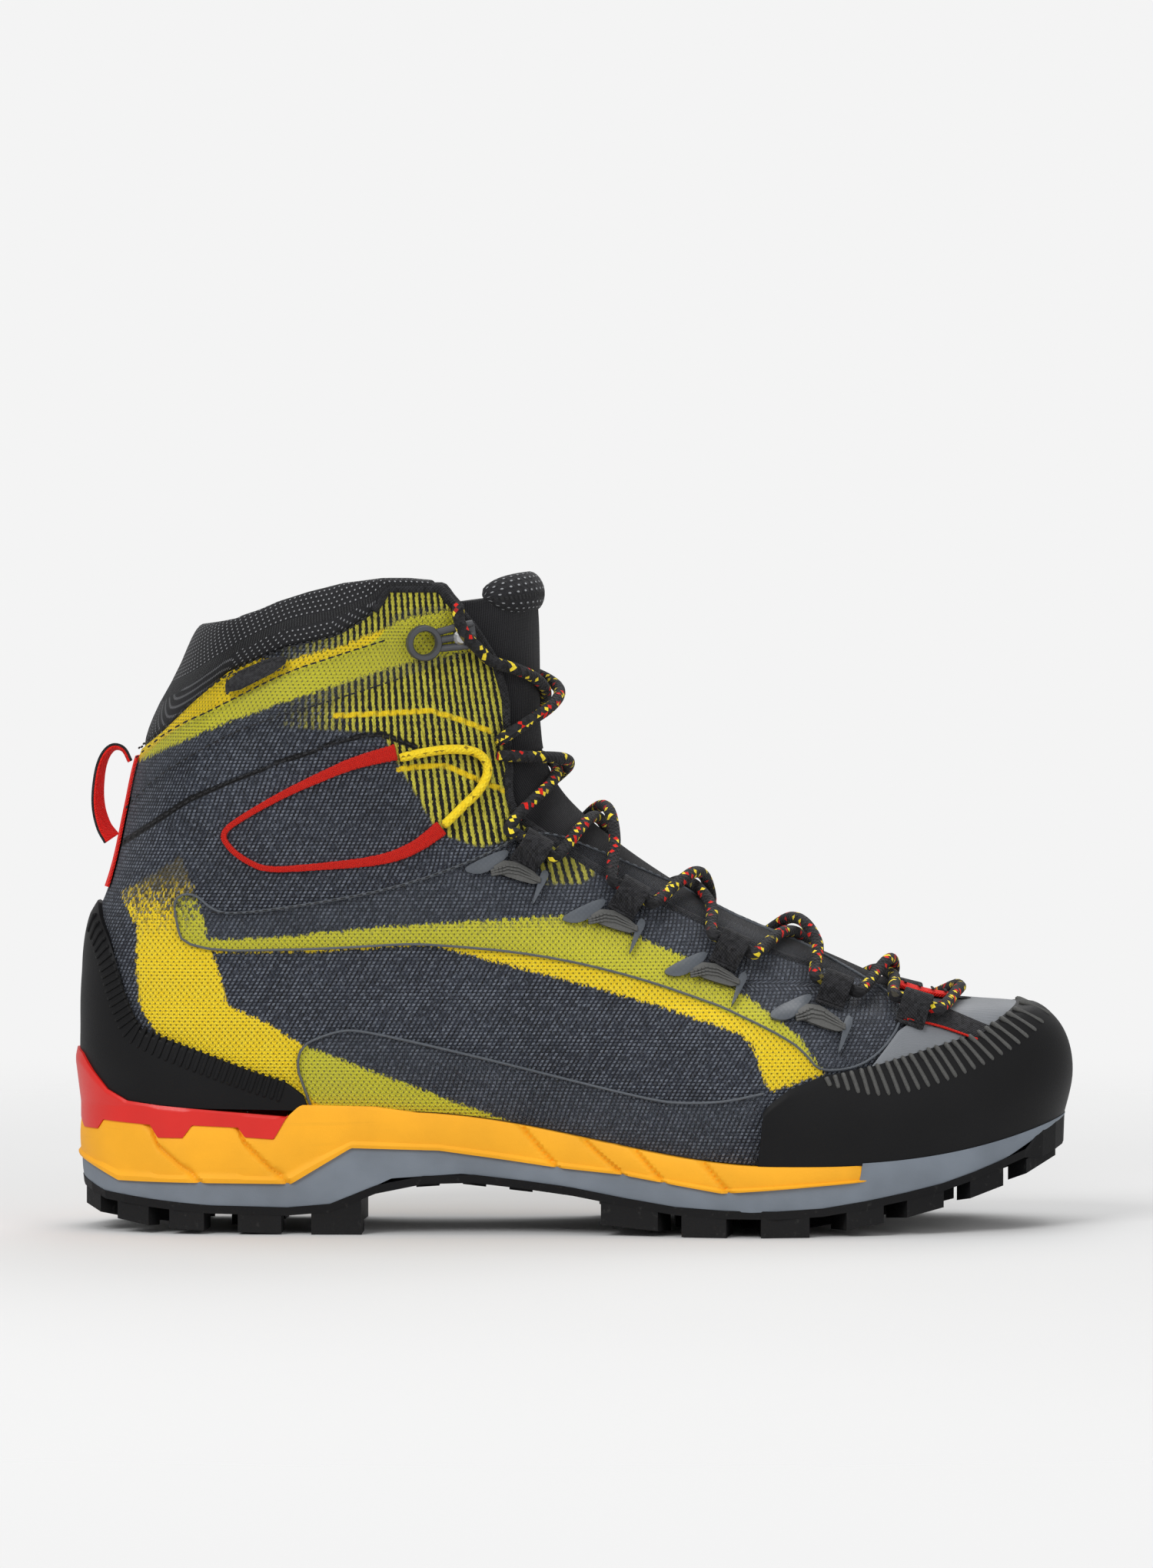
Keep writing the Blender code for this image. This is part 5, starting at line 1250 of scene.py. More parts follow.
class BootLooks(bpy.types.PropertyGroup):
    """Sizes and colours of the boot's visible pieces."""

    knit_gauge: FloatProperty(name="Knit gauge", description="Width of one knit stitch, in millimetres",
                              default=1.15, min=0.4, max=4.0)
    rib_pitch: FloatProperty(name="Rib pitch",
                             description="Width of one rib of the stretch panel, in millimetres",
                             default=2.05, min=1.0, max=6.0)
    mesh_pitch: FloatProperty(name="Mesh pitch",
                              description="Distance between the collar mesh's dots, in millimetres",
                              default=1.7, min=0.8, max=5.0)
    film_cover: FloatProperty(name="Film cover", description="How much the films hide the knit under them",
                              default=0.06, min=0.0, max=1.0, subtype="FACTOR")
    toe_ribs: IntProperty(name="Toe ribs", description="Ribs along each side of the toe rand",
                          default=25, min=0, max=60)
    knit_dark: colour_property("Knit dark", "The knit's main yarn", (0.022, 0.026, 0.038))
    knit_blue: colour_property("Knit blue", "The knit's second yarn", (0.040, 0.047, 0.066))
    # Pale stitches at random in the dark knit, and also the colour of the painted highlight spot on every stitch.
    knit_fleck: colour_property("Knit fleck", "Pale stitches in the dark knit", (0.28, 0.31, 0.37))
    knit_yellow: colour_property("Knit yellow", "The knit's yellow yarn", (0.93, 0.64, 0.012))
    knit_lemon: colour_property("Knit lemon", "The lighter yellow yarn", (0.98, 0.76, 0.04))
    rib_lime: colour_property("Rib lime", "Ribs of the stretch panel", (0.62, 0.58, 0.07))
    knit_filmed: colour_property("Knit filmed", "The yellow knit as it shows under a film",
                                 (0.80, 0.77, 0.035))
    rib_olive: colour_property("Rib olive", "Shaded yellow yarn", (0.42, 0.38, 0.05))
    mesh_black: colour_property("Mesh black", "The padded mesh", (0.012, 0.012, 0.013))
    mesh_dot: colour_property("Mesh dot", "Dots in the padded mesh", (0.42, 0.43, 0.45))
    film_tint: colour_property("Film tint", "The translucent films", (0.070, 0.078, 0.095))
    rubber: colour_property("Rubber", "Rands and tread", (0.006, 0.006, 0.0065))
    midsole_yellow: colour_property("Midsole yellow", "The upper midsole", (0.95, 0.43, 0.012))
    midsole_grey: colour_property("Midsole grey", "The lower midsole", (0.19, 0.22, 0.26))
    red: colour_property("Red", "Heel block, tapes and stitching", (0.72, 0.012, 0.006))
    black_thread: colour_property("Black thread", "Seams and stitches", (0.012, 0.012, 0.013))


# ---------------------------------------------------------------- pieces

SIDES = ("lateral", "medial")


def whole_lines(count, first=0.0, last=2.0):
    return np.linspace(first, last, count)


def make_knit():
    c = whole_lines(281)
    top = outline_height(c, COLLAR_BOTTOM, low=9.0)
    obj = shell("knit_skin", c, 0.0, top, 104, 0.0, 1.2, marked=True)
    finished(obj, finish_of("knit"), flex=True, replaces=("upper_knit", "ankle_flex_panel", "cuff_knit"),
             slot="knit")


def make_linings():
    c = whole_lines(161, 0.03, 1.97)
    lining = shell("lining_skin", c, 0.12, outline_height(c, COLLAR_BOTTOM, low=9.0) - 0.25, 56, -3.2, 1.3)
    finished(lining, finish_of("lining"), flex=True, replaces=("lining_lower", "cuff_lining"), slot="lining")


def make_collar():
    c = whole_lines(221, 0.05, 1.95)
    low = outline_height(c, COLLAR_BOTTOM, low=9.0)
    high = outline_height(c, CUFF_TOP, low=12.0, high=17.6)
    high = np.maximum(high, low + 0.12)
    turn = np.linspace(0, 2 * np.pi, 29)[:-1]
    v_mid, v_half = (low + high) / 2, (high - low) / 2
    points = []
    for angle in turn:
        lift = np.sign(np.sin(angle)) * abs(np.sin(angle)) ** 0.75
        depth = -2.4 + 3.4 * np.sign(np.cos(angle)) * abs(np.cos(angle)) ** 0.6
        v = v_mid + v_half * lift
        points.append(shell_points(c, v, np.full(len(c), depth)))
    points = np.array(points)
    across, loop = lengths(points, 1), lengths(points, 0)
    flat = points.reshape(-1, 3)
    uv = np.stack((np.broadcast_to(across[0], across.shape).ravel(), loop.ravel()), 1)
    count = len(c)
    faces = []
    for i in range(len(turn)):
        j = (i + 1) % len(turn)
        faces += [(i * count + k, j * count + k, j * count + k + 1, i * count + k + 1)
                  for k in range(count - 1)]
    for end in (0, count - 1):
        cap = [i * count + end for i in range(len(turn))]
        faces.append(cap if end else cap[::-1])
    obj = outward(new_object("collar_pad", flat, faces, uv))
    obj.data.shade_smooth()
    finished(obj, finish_of("mesh_cloth"), "cuff", replaces=("collar_padding",), slot="lining")
    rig.padded(obj, fill=0.7)


def tongue_surface(f, v, depth):
    return surface(-f * throat_angle(v), v, depth)


def make_pad(name, share, low, high, rows, columns, crown, thickness):
    """A padded sheet over the throat, crowned between its edges and rounded at its rim."""
    f = np.linspace(-share, share, columns)
    v = np.linspace(low, high, rows)
    ff, vv = np.meshgrid(f, v)
    rim_side = np.clip((1 - np.abs(ff) / share) * 3.2, 0, 1)
    edge = np.sqrt(np.clip(1 - (1 - rim_side) ** 2, 0, 1))
    dome = np.clip(1 - (np.abs(ff) / 0.95) ** 3.0, 0, 1)
    tuck = -1.75
    top = tongue_surface(ff, vv, tuck + (crown - tuck) * dome - 0.5 * (1 - edge))
    under = tongue_surface(ff, vv, tuck - thickness + (crown * 0.5) * dome + 0.5 * (1 - edge))
    count = rows * columns
    flat = np.vstack((top.reshape(-1, 3), under.reshape(-1, 3)))
    faces = grid_faces(rows, columns)
    faces += [tuple(index + count for index in reversed(face)) for face in faces]
    border = (list(range(columns)) + [(k + 1) * columns - 1 for k in range(1, rows)]
              + [(rows - 1) * columns + k for k in range(columns - 2, -1, -1)]
              + [k * columns for k in range(rows - 2, 0, -1)])
    for a, b in zip(border, border[1:] + border[:1]):
        faces.append((a, b, b + count, a + count))
    across = lengths(top, 1)
    across -= across[:, columns // 2:columns // 2 + 1]
    uv = np.stack((across.ravel(), lengths(top, 0).ravel()), 1)
    obj = outward(new_object(name, flat, faces, np.vstack((uv, uv))))
    obj.data.shade_smooth()
    return obj


def make_roll():
    """The tongue's top roll: a stuffed tube bent over the end of the tongue."""
    columns, around = 41, 26
    f = np.linspace(-ROLL_SHARE, ROLL_SHARE, columns)
    turns = np.linspace(0, 2 * math.pi, around + 1)[:-1]
    points, uv = [], []
    for share in f:
        fat = math.sqrt(max(1 - abs(share / (ROLL_SHARE + 0.01)) ** 5, 0.0))
        for turn in turns:
            lift = 0.42 + 0.55 * math.sin(turn) * fat
            depth = -0.6 + 4.4 * math.cos(turn) * fat
            points.append(tongue_surface(np.array(share), np.array(ROLL_ROW + lift), np.array(depth)))
            uv.append((share * 22.0, turn * 4.2))
    count = around
    faces = [(i * count + k, i * count + (k + 1) % count,
              (i + 1) * count + (k + 1) % count, (i + 1) * count + k)
             for i in range(columns - 1) for k in range(count)]
    faces += [tuple(range(count)), tuple((columns - 1) * count + k for k in reversed(range(count)))]
    obj = outward(new_object("tongue_top_roll", points, faces, uv))
    obj.data.shade_smooth()
    return obj


def make_tongue():
    base = make_pad("tongue_lower_pad", TONGUE_SHARE, 6.15, 11.4, 60, 41, 1.0, 3.2)
    finished(base, finish_of("tongue_cloth"), flex=True, replaces=("tongue_base", "tongue_bend"),
             slot="black_fabric")
    upper = make_pad("tongue_upper_pad", TONGUE_SHARE, 11.35, 15.70, 56, 41, 1.4, 3.2)
    finished(upper, finish_of("tongue_cloth"), flex="tongue", replaces=("tongue_upper",), slot="black_fabric")
    roll = make_roll()
    finished(roll, finish_of("mesh_cloth"), "tongue", replaces=("tongue_roll",), slot="black_fabric")
    for pad in (base, upper, roll):
        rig.padded(pad, fill=0.6)


def make_films():
    for side in SIDES:
        cage = patch("cage_skin_" + side, CAGE, side, SKIN + FILM, FILM)
        finished(cage, finish_of("film"), flex=True, replaces=("cage_film_" + side,), slot="film")
        low = patch("side_skin_" + side, SIDE_FILM, side, SKIN + FILM, FILM)
        finished(low, finish_of("film"), "boot", replaces=("side_film_" + side,), slot="film")
        for name, path, closed in (("cage", CAGE, True), ("side", SIDE_FILM[:10], False)):
            line = spaced(rounded(path, 2, closed), 1.6, closed)
            line = np.vstack((line, line[:1])) if closed else line
            line, _ = on_side(line[:, 0], line[:, 1], side, SKIN + FILM - 0.1)
            rim = tube("%s_rim_%s" % (name, side), line, 0.42, 6)
            finished(rim, finish_of("tab_plastic"), flex=True, slot="film")
        strap = patch("strap_skin_" + side, STRAP, side, SKIN + FILM, FILM)
        finished(strap, finish_of("film"), "cuff", replaces=("strap_film_" + side,), slot="film")
    angles = np.linspace(-0.93, 0.93, 181)
    low = outline_height(np.abs(angles), TOE_RAND_TOP, low=0.5, high=6.0, by_angle=True)
    high = outline_height(np.abs(angles), TOE_FILM_BACK, low=0.5, high=5.3, by_angle=True)
    high = np.clip(high, low, 5.0)
    film = band("toe_skin", angles, np.minimum(low - 0.12, 4.9), high, 26, SKIN + FILM + 0.25, FILM, 0.2)
    finished(film, finish_of("toe_film"), "boot", replaces=("toe_film",), slot="film")


def make_rands():
    angles = np.linspace(-1.19, 1.19, 241)
    top = outline_height(np.abs(angles), TOE_RAND_TOP, low=0.0, high=6.0, by_angle=True)
    toe = band("toe_rand_skin", angles, 0.0, np.maximum(top, 0.02), 30, SKIN + 1.9, 1.9, 0.9)
    parts = []
    upper, lower = (spaced(rounded(line, 2, False), 0.5) for line in (TOE_RIBS_TOP, TOE_RIBS_LOW))
    count = bpy.context.scene.boot_looks.toe_ribs
    for side in SIDES:
        pick_top = upper[np.linspace(0, len(upper) - 1, count).astype(int)]
        pick_low = lower[np.linspace(0, len(lower) - 1, count).astype(int)]
        a, na = on_side(pick_top[:, 0], pick_top[:, 1], side, SKIN + 1.6)
        b, nb = on_side(pick_low[:, 0], pick_low[:, 1], side, SKIN + 1.6)
        parts.append(laid_bars("toe_ribs_" + side, (a + b) / 2, unit(a - b), unit(na + nb),
                               np.linalg.norm(a - b, axis=1) * 1.3, 1.45, 2.0, finish_of("rib_rubber")))
    ribs = joined("toe_rand_ribs", parts)
    finished(ribs, finish_of("rib_rubber"), "boot", slot="rubber")
    finished(toe, finish_of("rand"), "boot", replaces=("toe_rand",), slot="rubber")
    angles = np.linspace(math.pi - 1.12, math.pi + 1.12, 201)
    lateral = np.minimum(angles, 2 * math.pi - angles)
    top = outline_height(lateral, HEEL_RAND_TOP, low=0.0, high=10.0, by_angle=True)
    heel = band("heel_rand_skin", angles, 0.0, np.maximum(top, 0.02), 40, SKIN + 1.7, 1.7, 0.8)
    parts = []
    inset = [(x - 2.0, z - 2.2) for x, z in HEEL_RAND_TOP[2:-2]]
    path = spaced(rounded(inset, 3, False), 2.2)
    for side in SIDES:
        points, across, away, reach = across_bars(path, side, SKIN + 1.5, 2.2, lambda t: 3.4)
        parts.append(laid_bars("heel_ribs_" + side, points, across, away, reach * 2.2, 1.3, 1.5,
                               finish_of("rand")))
    ribs = joined("heel_rand_ribs", parts)
    finished(ribs, finish_of("rand"), "boot", slot="rubber")
    finished(heel, finish_of("rand"), "boot", replaces=("heel_rand",), slot="rubber")


def sole_outline(angle, out):
    step = 0.01
    here = last_point(angle, 0.0)
    ahead = last_point(angle + step, 0.0) - last_point(angle - step, 0.0)
    away = unit(np.stack((-ahead[..., 1], ahead[..., 0], np.zeros(len(ahead))), -1))
    return here + away * np.asarray(out)[..., None], (here - SHIFT)[..., 0]


GROOVES = ((-127, -112), (-101, -86), (-16.5, -5), (2.5, 15), (18, 27), (38, 46))
TEETH = ((-160, 34.5), (-146.8, 34), (-145.2, 30.7), (-141.2, 30.7), (-139.6, 33.5), (-126.2, 32.6),
         (-124, 28.8), (-117, 28.8), (-114.3, 32.6), (-100.9, 32), (-98.8, 29.1), (-90.2, 28.5),
         (-86.4, 35), (-82.5, 38.6))
MIDSOLE_LIP = ((-90, 20), (-86.4, 35), (-82, 38.8), (-60, 38.3), (-33, 34.5), (-17, 31.3), (12, 27.4),
               (40, 20))
FIN_TOP = ((-160, 54.6), (-149.6, 54.4), (-147.6, 53), (-144.6, 48.2), (-140.4, 42.8), (-134.5, 39.6),
           (-124.6, 38.4), (-86, 35.2))

YELLOW_FRONT = math.radians(54)
SOLE_INSIDE = -6.0


def sole_wall(name, angles, low, top, reach, inside, rows=17, ring_shut=False):
    """A strip of sole round the outline between two heights, as far out as reach(share, height) says."""
    points = []
    for share in np.linspace(0, 1, rows):
        height = top + (low - top) * share
        where, _ = sole_outline(angles, reach(share, height))
        where[:, 2] = height
        points.append(where)
    for height in (low, top):
        where, _ = sole_outline(angles, np.full(len(angles), inside))
        where[:, 2] = height
        points.append(where)
    total, count = len(points), len(angles)
    faces = []
    for i in range(total):
        j = (i + 1) % total
        for k in range(count if ring_shut else count - 1):
            m = (k + 1) % count
            faces.append((i * count + k, j * count + k, j * count + m, i * count + m))
    for end in () if ring_shut else (0, count - 1):
        cap = [i * count + end for i in range(total)]
        faces.append(cap if end else cap[::-1])
    obj = outward(new_object(name, np.array(points).reshape(-1, 3), faces))
    obj.data.set_sharp_from_angle(angle=math.radians(30))
    return obj


def make_yellow_skin():
    """The yellow midsole's moulded wall, cut by slanting grooves, with a lip up the upper's waist."""
    angles = np.linspace(YELLOW_FRONT, 2 * math.pi - YELLOW_FRONT, 601)
    here, x = sole_outline(angles, np.zeros(len(angles)))
    top = np.maximum(here[:, 2] - 0.3, np.interp(x, *zip(*MIDSOLE_LIP)))
    top = np.where(x < -82.5, np.interp(x, *zip(*TEETH)), top)
    low = np.interp(x, *zip(*YELLOW_BOTTOM))
    ends = np.clip((YELLOW_FRONT + 0.04 - np.minimum(angles, 2 * math.pi - angles)) / 0.04, 0, 1)

    def reach(share, _height):
        cut = np.zeros(len(x))
        for high_x, low_x in GROOVES:
            line = high_x + (low_x - high_x) * share
            cut = np.maximum(cut, 1.5 * np.clip(1 - np.abs(x - line) / 1.5, 0, 1))
            cut = cut - 0.5 * np.clip((x - line) / 12, 0, 1) * np.clip(1 - (x - line) / 26, 0, 1)
        rim = 0.9 * np.clip((share - 0.84) / 0.08, 0, 1)
        return 2.95 + 0.6 * math.sin(math.pi * share) ** 0.6 + rim - cut - 1.2 * ends

    obj = sole_wall("midsole_upper_skin", angles, low, top, reach, SOLE_INSIDE, 25)
    finished(obj, finish_of("yellow_foam"), "boot", replaces=("midsole_yellow",), slot="yellow_foam")


def make_grey_skin():
    """The grey midsole under it, which shows up to the rand at the toe."""
    angles = np.linspace(0, 2 * math.pi, 721)[:-1]
    here, x = sole_outline(angles, np.zeros(len(angles)))
    side = np.minimum(angles, 2 * math.pi - angles)
    low = np.interp(x, *zip(*GREY_BOTTOM)) - 0.4
    top = np.where(side < YELLOW_FRONT + 0.01, here[:, 2] + 0.4,
                   np.interp(x, *zip(*YELLOW_BOTTOM)) + 0.2)
    low = np.where(x > 128, np.maximum(low, 24.5 + (x - 132) * 0.62), low)
    top = np.maximum(top, low + 0.3)
    obj = sole_wall("midsole_lower_skin", angles, low, top,
                    lambda share, _height: np.full(len(x), 2.9 - 0.5 * share ** 3),
                    SOLE_INSIDE, 9, True)
    finished(obj, finish_of("grey_foam"), "boot", replaces=("midsole_grey",), slot="grey_foam")


def make_heel_block():
    """The red heel piece: teeth that key into the midsole and a fin up the back."""
    angles = np.linspace(math.pi - 0.945, math.pi + 0.945, 401)
    here, _ = sole_outline(angles, np.full(len(angles), 2.9))
    x = here[:, 0] - SHIFT[0]
    _, inner = sole_outline(angles, np.zeros(len(angles)))
    low = np.interp(inner, *zip(*TEETH)) + 0.05
    top = np.maximum(np.interp(x, *zip(*FIN_TOP)), low + 0.4)
    obj = sole_wall("heel_block_skin", angles, low, top,
                    lambda share, height: 3.35 + 1.5 * np.clip((height - 38) / 12, 0, 1)
                    - 0.5 * np.clip(0.12 - share, 0, 1) / 0.12, 0.4, 25)
    finished(obj, finish_of("red_plastic"), "boot", replaces=("heel_insert",), slot="red_plastic")


def paint_node(node, finish):
    mesh_object = frame["nodes"][node]
    mesh_object.data.materials.clear()
    mesh_object.data.materials.append(finish_of(finish))


def make_sole_unit():
    paint_node("outsole", "rubber")
    make_grey_skin()
    make_heel_block()
    make_yellow_skin()


def make_inner_parts():
    for node, finish in (("shank", "steel"), ("lasting_board", "board"), ("footbed", "footbed"),
                         ("heel_counter", "stiffener"), ("toe_puff", "stiffener")):
        paint_node(node, finish)


def loop_frame(x, z, side, depth):
    """Forward along the throat, up the side and outward, at a side-view place."""
    spot, out = on_side(x, z, side, depth)
    spot, out = spot[0], out[0]
    slope = np.array((1.0, 0.0, 0.15)) if z > CUFF_LEVEL else np.array((0.88, 0.0, -0.47))
    forward = unit(slope - out * (slope @ out))
    return spot, forward, np.cross(out, forward), out


def laid(base, x, y, z):
    spot, forward, up, out = base
    return spot + forward * x + up * y + out * z


def make_loops():
    for index, (x, z) in enumerate(LOOP_PLACES):
        for side in SIDES:
            base = loop_frame(x, z, side, LACE_DEPTH)
            half, high = 4.75, 3.7
            arch = [(-half - 1.8, -high + 0.1)]
            for turn in np.linspace(math.pi, 0, 15):
                arch.append((math.cos(turn) * half * (0.72 + 0.28 * (1 - abs(math.sin(turn)))),
                             -high + 0.3 + (high * 2 - 0.3) * abs(math.sin(turn)) ** 0.55))
            arch.append((half + 1.8, -high + 0.1))
            arch = smooth_path([(a, b, 0) for a, b in arch], 2)[:, :2]
            widths = np.linspace(-LOOP_HALF - 0.4, LOOP_HALF + 0.4, 9)
            points, uv = [], []
            reach = 0.0
            for k, (a, b) in enumerate(arch):
                if k:
                    reach += math.hypot(a - arch[k - 1][0], b - arch[k - 1][1])
                for w in widths:
                    points.append(laid(base, w, a, b))
                    uv.append((w, reach))
            obj = new_object("webbing", points, grid_faces(len(arch), len(widths)), uv)
            obj = thickened(outward(obj), 1.1, 0.3)
            stitches = []
            for edge in (-1, 1):
                for w in np.linspace(-3.2, 3.2, 5):
                    stitches.append((w, edge * (half + 0.9)))
            places = [laid(base, w, a, -high + 0.55) for w, a in stitches]
            bars = laid_bars("tacks", places, [base[1]] * len(places), [base[3]] * len(places), 1.2, 0.5, 0.5,
                             finish_of("thread"))
            obj = joined("loop_%d_%s" % (index + 1, side), [obj, bars])
            finished(obj, finish_of("webbing"), "boot", replaces=("lace_loop_%d_%s" % (index + 1, side),),
                     slot="black_fabric")


def loop_run(index, side):
    x, z = LOOP_PLACES[index]
    base = loop_frame(x, z, side, LACE_DEPTH)
    return [laid(base, reach, 0, 0) for reach in (LOOP_HALF + 3, LOOP_HALF, -LOOP_HALF, -LOOP_HALF - 3)]


def signed_place(x, z, side):
    angle, v = side_place(x, z)
    return (float(angle[0]) if side == "lateral" else -float(angle[0])), float(v[0])


def run_place(index, side, back):
    point = loop_run(index, side)[-1 if back else 0] - SHIFT
    return signed_place(point[0], point[2], side)


def ridge_row(x):
    v = 5.0
    while ring(v)[2] > x:
        v += 0.02
    return v


def over_tongue(start, end, shares, lift, ridge=None):
    rise = 0.0 if ridge is None else ridge - (start[1] + end[1]) / 2
    points = []
    for share in shares:
        bow = math.sin(math.pi * share)
        angle = start[0] + (end[0] - start[0]) * share
        v = start[1] + (end[1] - start[1]) * share + rise * bow
        points.append(surface(angle, v, LACE_RADIUS + 1.3 + lift * bow ** 2))
    return points


def lace_route(first, lift):
    sides = SIDES if first == "lateral" else SIDES[::-1]
    turn = -1.0 if first == "medial" else 1.0
    points = [surface(math.radians(3) * turn, 5.2, 4.4), surface(math.radians(12) * turn, 5.1, 4.4)]
    for index in range(len(LOOP_PLACES)):
        if index:
            side, other = sides[(index - 1) % 2], sides[index % 2]
            start, end = run_place(index - 1, side, True), run_place(index, other, False)
            ridge = ridge_row((LOOP_PLACES[index - 1][0] + LOOP_PLACES[index][0]) / 2 + 4.0)
            points += over_tongue(start, end, (0.2, 0.4, 0.6, 0.8), lift, ridge)
        points += loop_run(index, sides[index % 2])
    return points


def make_laces():
    for name, first, lift in (("a", "lateral", 0.0), ("b", "medial", 4.2)):
        obj = tube("lace_low_" + name, smooth_path(lace_route(first, lift), 5), LACE_RADIUS)
        finished(obj, finish_of("lace"), "boot", replaces=("lace_lower_" + name,), slot="black_fabric")
    for name, side, other, lift in (("a", "lateral", "medial", 0.0), ("b", "medial", "lateral", 4.2)):
        run = loop_run(len(LOOP_PLACES) - 1, side)
        heading = unit(run[-1] - run[-2])
        points = [run[-1] - heading * 1.0, run[-1] + heading * 2.4]
        points += over_tongue(signed_place(-24, 122, side), signed_place(-25, 143, other),
                              (0.2, 0.35, 0.5, 0.65, 0.82, 1.0), lift)
        obj = tube("lace_mid_" + name, smooth_path(points, 6), LACE_RADIUS)
        finished(obj, finish_of("lace"), flex=True, replaces=("lace_ankle_" + name,), slot="black_fabric")
    for name, side, other, lift in (("a", "medial", "lateral", 0.0), ("b", "lateral", "medial", 4.2)):
        points = over_tongue(signed_place(-25.3, 147.2, side), signed_place(-27, 171.5, other),
                             (0.0, 0.17, 0.33, 0.5, 0.67, 0.83, 1.0), lift)
        points += [on_side(x, z, other, depth)[0][0] for x, z, depth in
                   ((-31.5, 175.5, 4.6), (-35.2, 179.5, 5.4), (-36.6, 184.0, 4.6), (-36.4, 188.5, 3.2))]
        obj = tube("lace_top_" + name, smooth_path(points, 6), LACE_RADIUS)
        finished(obj, finish_of("lace"), "cuff", replaces=("lace_upper_" + name,), slot="black_fabric")
    route = ((-53, 142.5), (-44, 144.4), (-36, 145), (-30, 143.5), (-27.5, 139), (-29.5, 133), (-35, 127),
             (-40, 121.8))
    for side in SIDES:
        points = [on_side(x, z, side, 0.8 + CORD_RADIUS)[0][0] for x, z in route]
        obj = tube("ankle_cord_skin_" + side, smooth_path(points, 7), CORD_RADIUS, 12)
        finished(obj, finish_of("cord"), flex=True, replaces=("ankle_cord_" + side,), slot="yellow_cord")


def make_hooks():
    for side in SIDES:
        base = loop_frame(*HOOK_PLACE, side, SKIN + 0.3 + FILM + HOOK_HALF)
        turns = np.linspace(0, 2 * math.pi, 49)[:-1]
        section = [(HOOK_OUTER, -1.0), (HOOK_OUTER, 0.9), (HOOK_OUTER - 0.4, HOOK_HALF),
                   (HOOK_INNER + 0.4, HOOK_HALF), (HOOK_INNER, 0.9), (HOOK_INNER, -1.0),
                   (HOOK_INNER + 0.4, -HOOK_HALF), (HOOK_OUTER - 0.4, -HOOK_HALF)]
        points = [laid(base, r * math.cos(t), r * math.sin(t), z) for t in turns for r, z in section]
        count = len(section)
        faces = []
        for i in range(len(turns)):
            for k in range(count):
                a, b = (i + 1) % len(turns), (k + 1) % count
                faces.append((i * count + k, a * count + k, a * count + b, i * count + b))
        ring_part = outward(new_object("ring", points, faces))
        arms = []
        for offset in (-2.9, 0.0, 2.9):
            rail = [laid(base, x, offset * (0.75 + 0.025 * x), 0.1) for x in np.linspace(4.0, 15.6, 12)]
            arms.append(tube("arm", rail, 1.15, 10))
        plate_points = [laid(base, x, y, z) for z in (-0.9, 0.55) for x, y in
                        ((9.5, -4.0), (15.2, -4.0), (16.0, -3.2), (16.0, 3.2), (15.2, 4.0), (9.5, 4.0))]
        plate = new_object("plate", plate_points, [tuple(range(5, -1, -1)), tuple(range(6, 12))]
                           + [(k, (k + 1) % 6, 6 + (k + 1) % 6, 6 + k) for k in range(6)])
        plate = outward(plate)
        obj = joined("hook_ring_" + side, [ring_part, plate] + arms)
        obj.data.set_sharp_from_angle(angle=math.radians(40))
        finished(obj, finish_of("hook_plastic"), "cuff", replaces=("hook_" + side,), slot="hook_plastic")
        paint_node("hook_rivet_" + side, "steel")


def make_pull_loop():
    path = smooth_path([(x - 0.4, 0.0, z) for x, z in PULL_PATH], 6)
    ahead = unit(np.gradient(path, axis=0))
    out = np.stack((ahead[:, 2], np.zeros(len(path)), -ahead[:, 0]), 1)
    turn = -np.radians(5 + 17 * np.linspace(0, 1, len(path)) ** 2)
    broad = out * np.sin(turn)[:, None] + np.array((0.0, 1.0, 0.0)) * np.cos(turn)[:, None]
    out = np.cross(broad, ahead)
    widths = np.linspace(-PULL_HALF, PULL_HALF, 9)
    for name, finish, shift, wall, stands_for, slot in (
            ("pull_strap_outer", "webbing", -0.02, 0.8, ("pull_loop",), "black_fabric"),
            ("pull_strap_inner", "red_webbing", 0.74, 0.62, (), "red_fabric")):
        points = [path[k] + out[k] * (0.7 - shift) + broad[k] * w + np.array((0, -1.8, 0))
                  for k in range(len(path)) for w in widths]
        skin = outward(new_object(name, points, grid_faces(len(path), len(widths))))
        probe = skin.data.polygons[len(skin.data.polygons) // 2]
        here = np.array(probe.center) / MM
        middle = path.mean(0)
        if np.dot(np.array(probe.normal), here - middle) < 0:
            skin.data.flip_normals()
        finished(thickened(skin, wall, 0.2), finish_of(finish), "pull_strap", replaces=stands_for, slot=slot)
    lines = whole_lines(9, 1 - 0.06, 1 + 0.06)
    tape = shell("back_tape_skin", lines, np.full(9, 9.2), np.full(9, 13.0), 40, SKIN + 0.6, 0.6)
    finished(tape, finish_of("red_webbing"), flex=True, replaces=("back_tape",), slot="red_fabric")


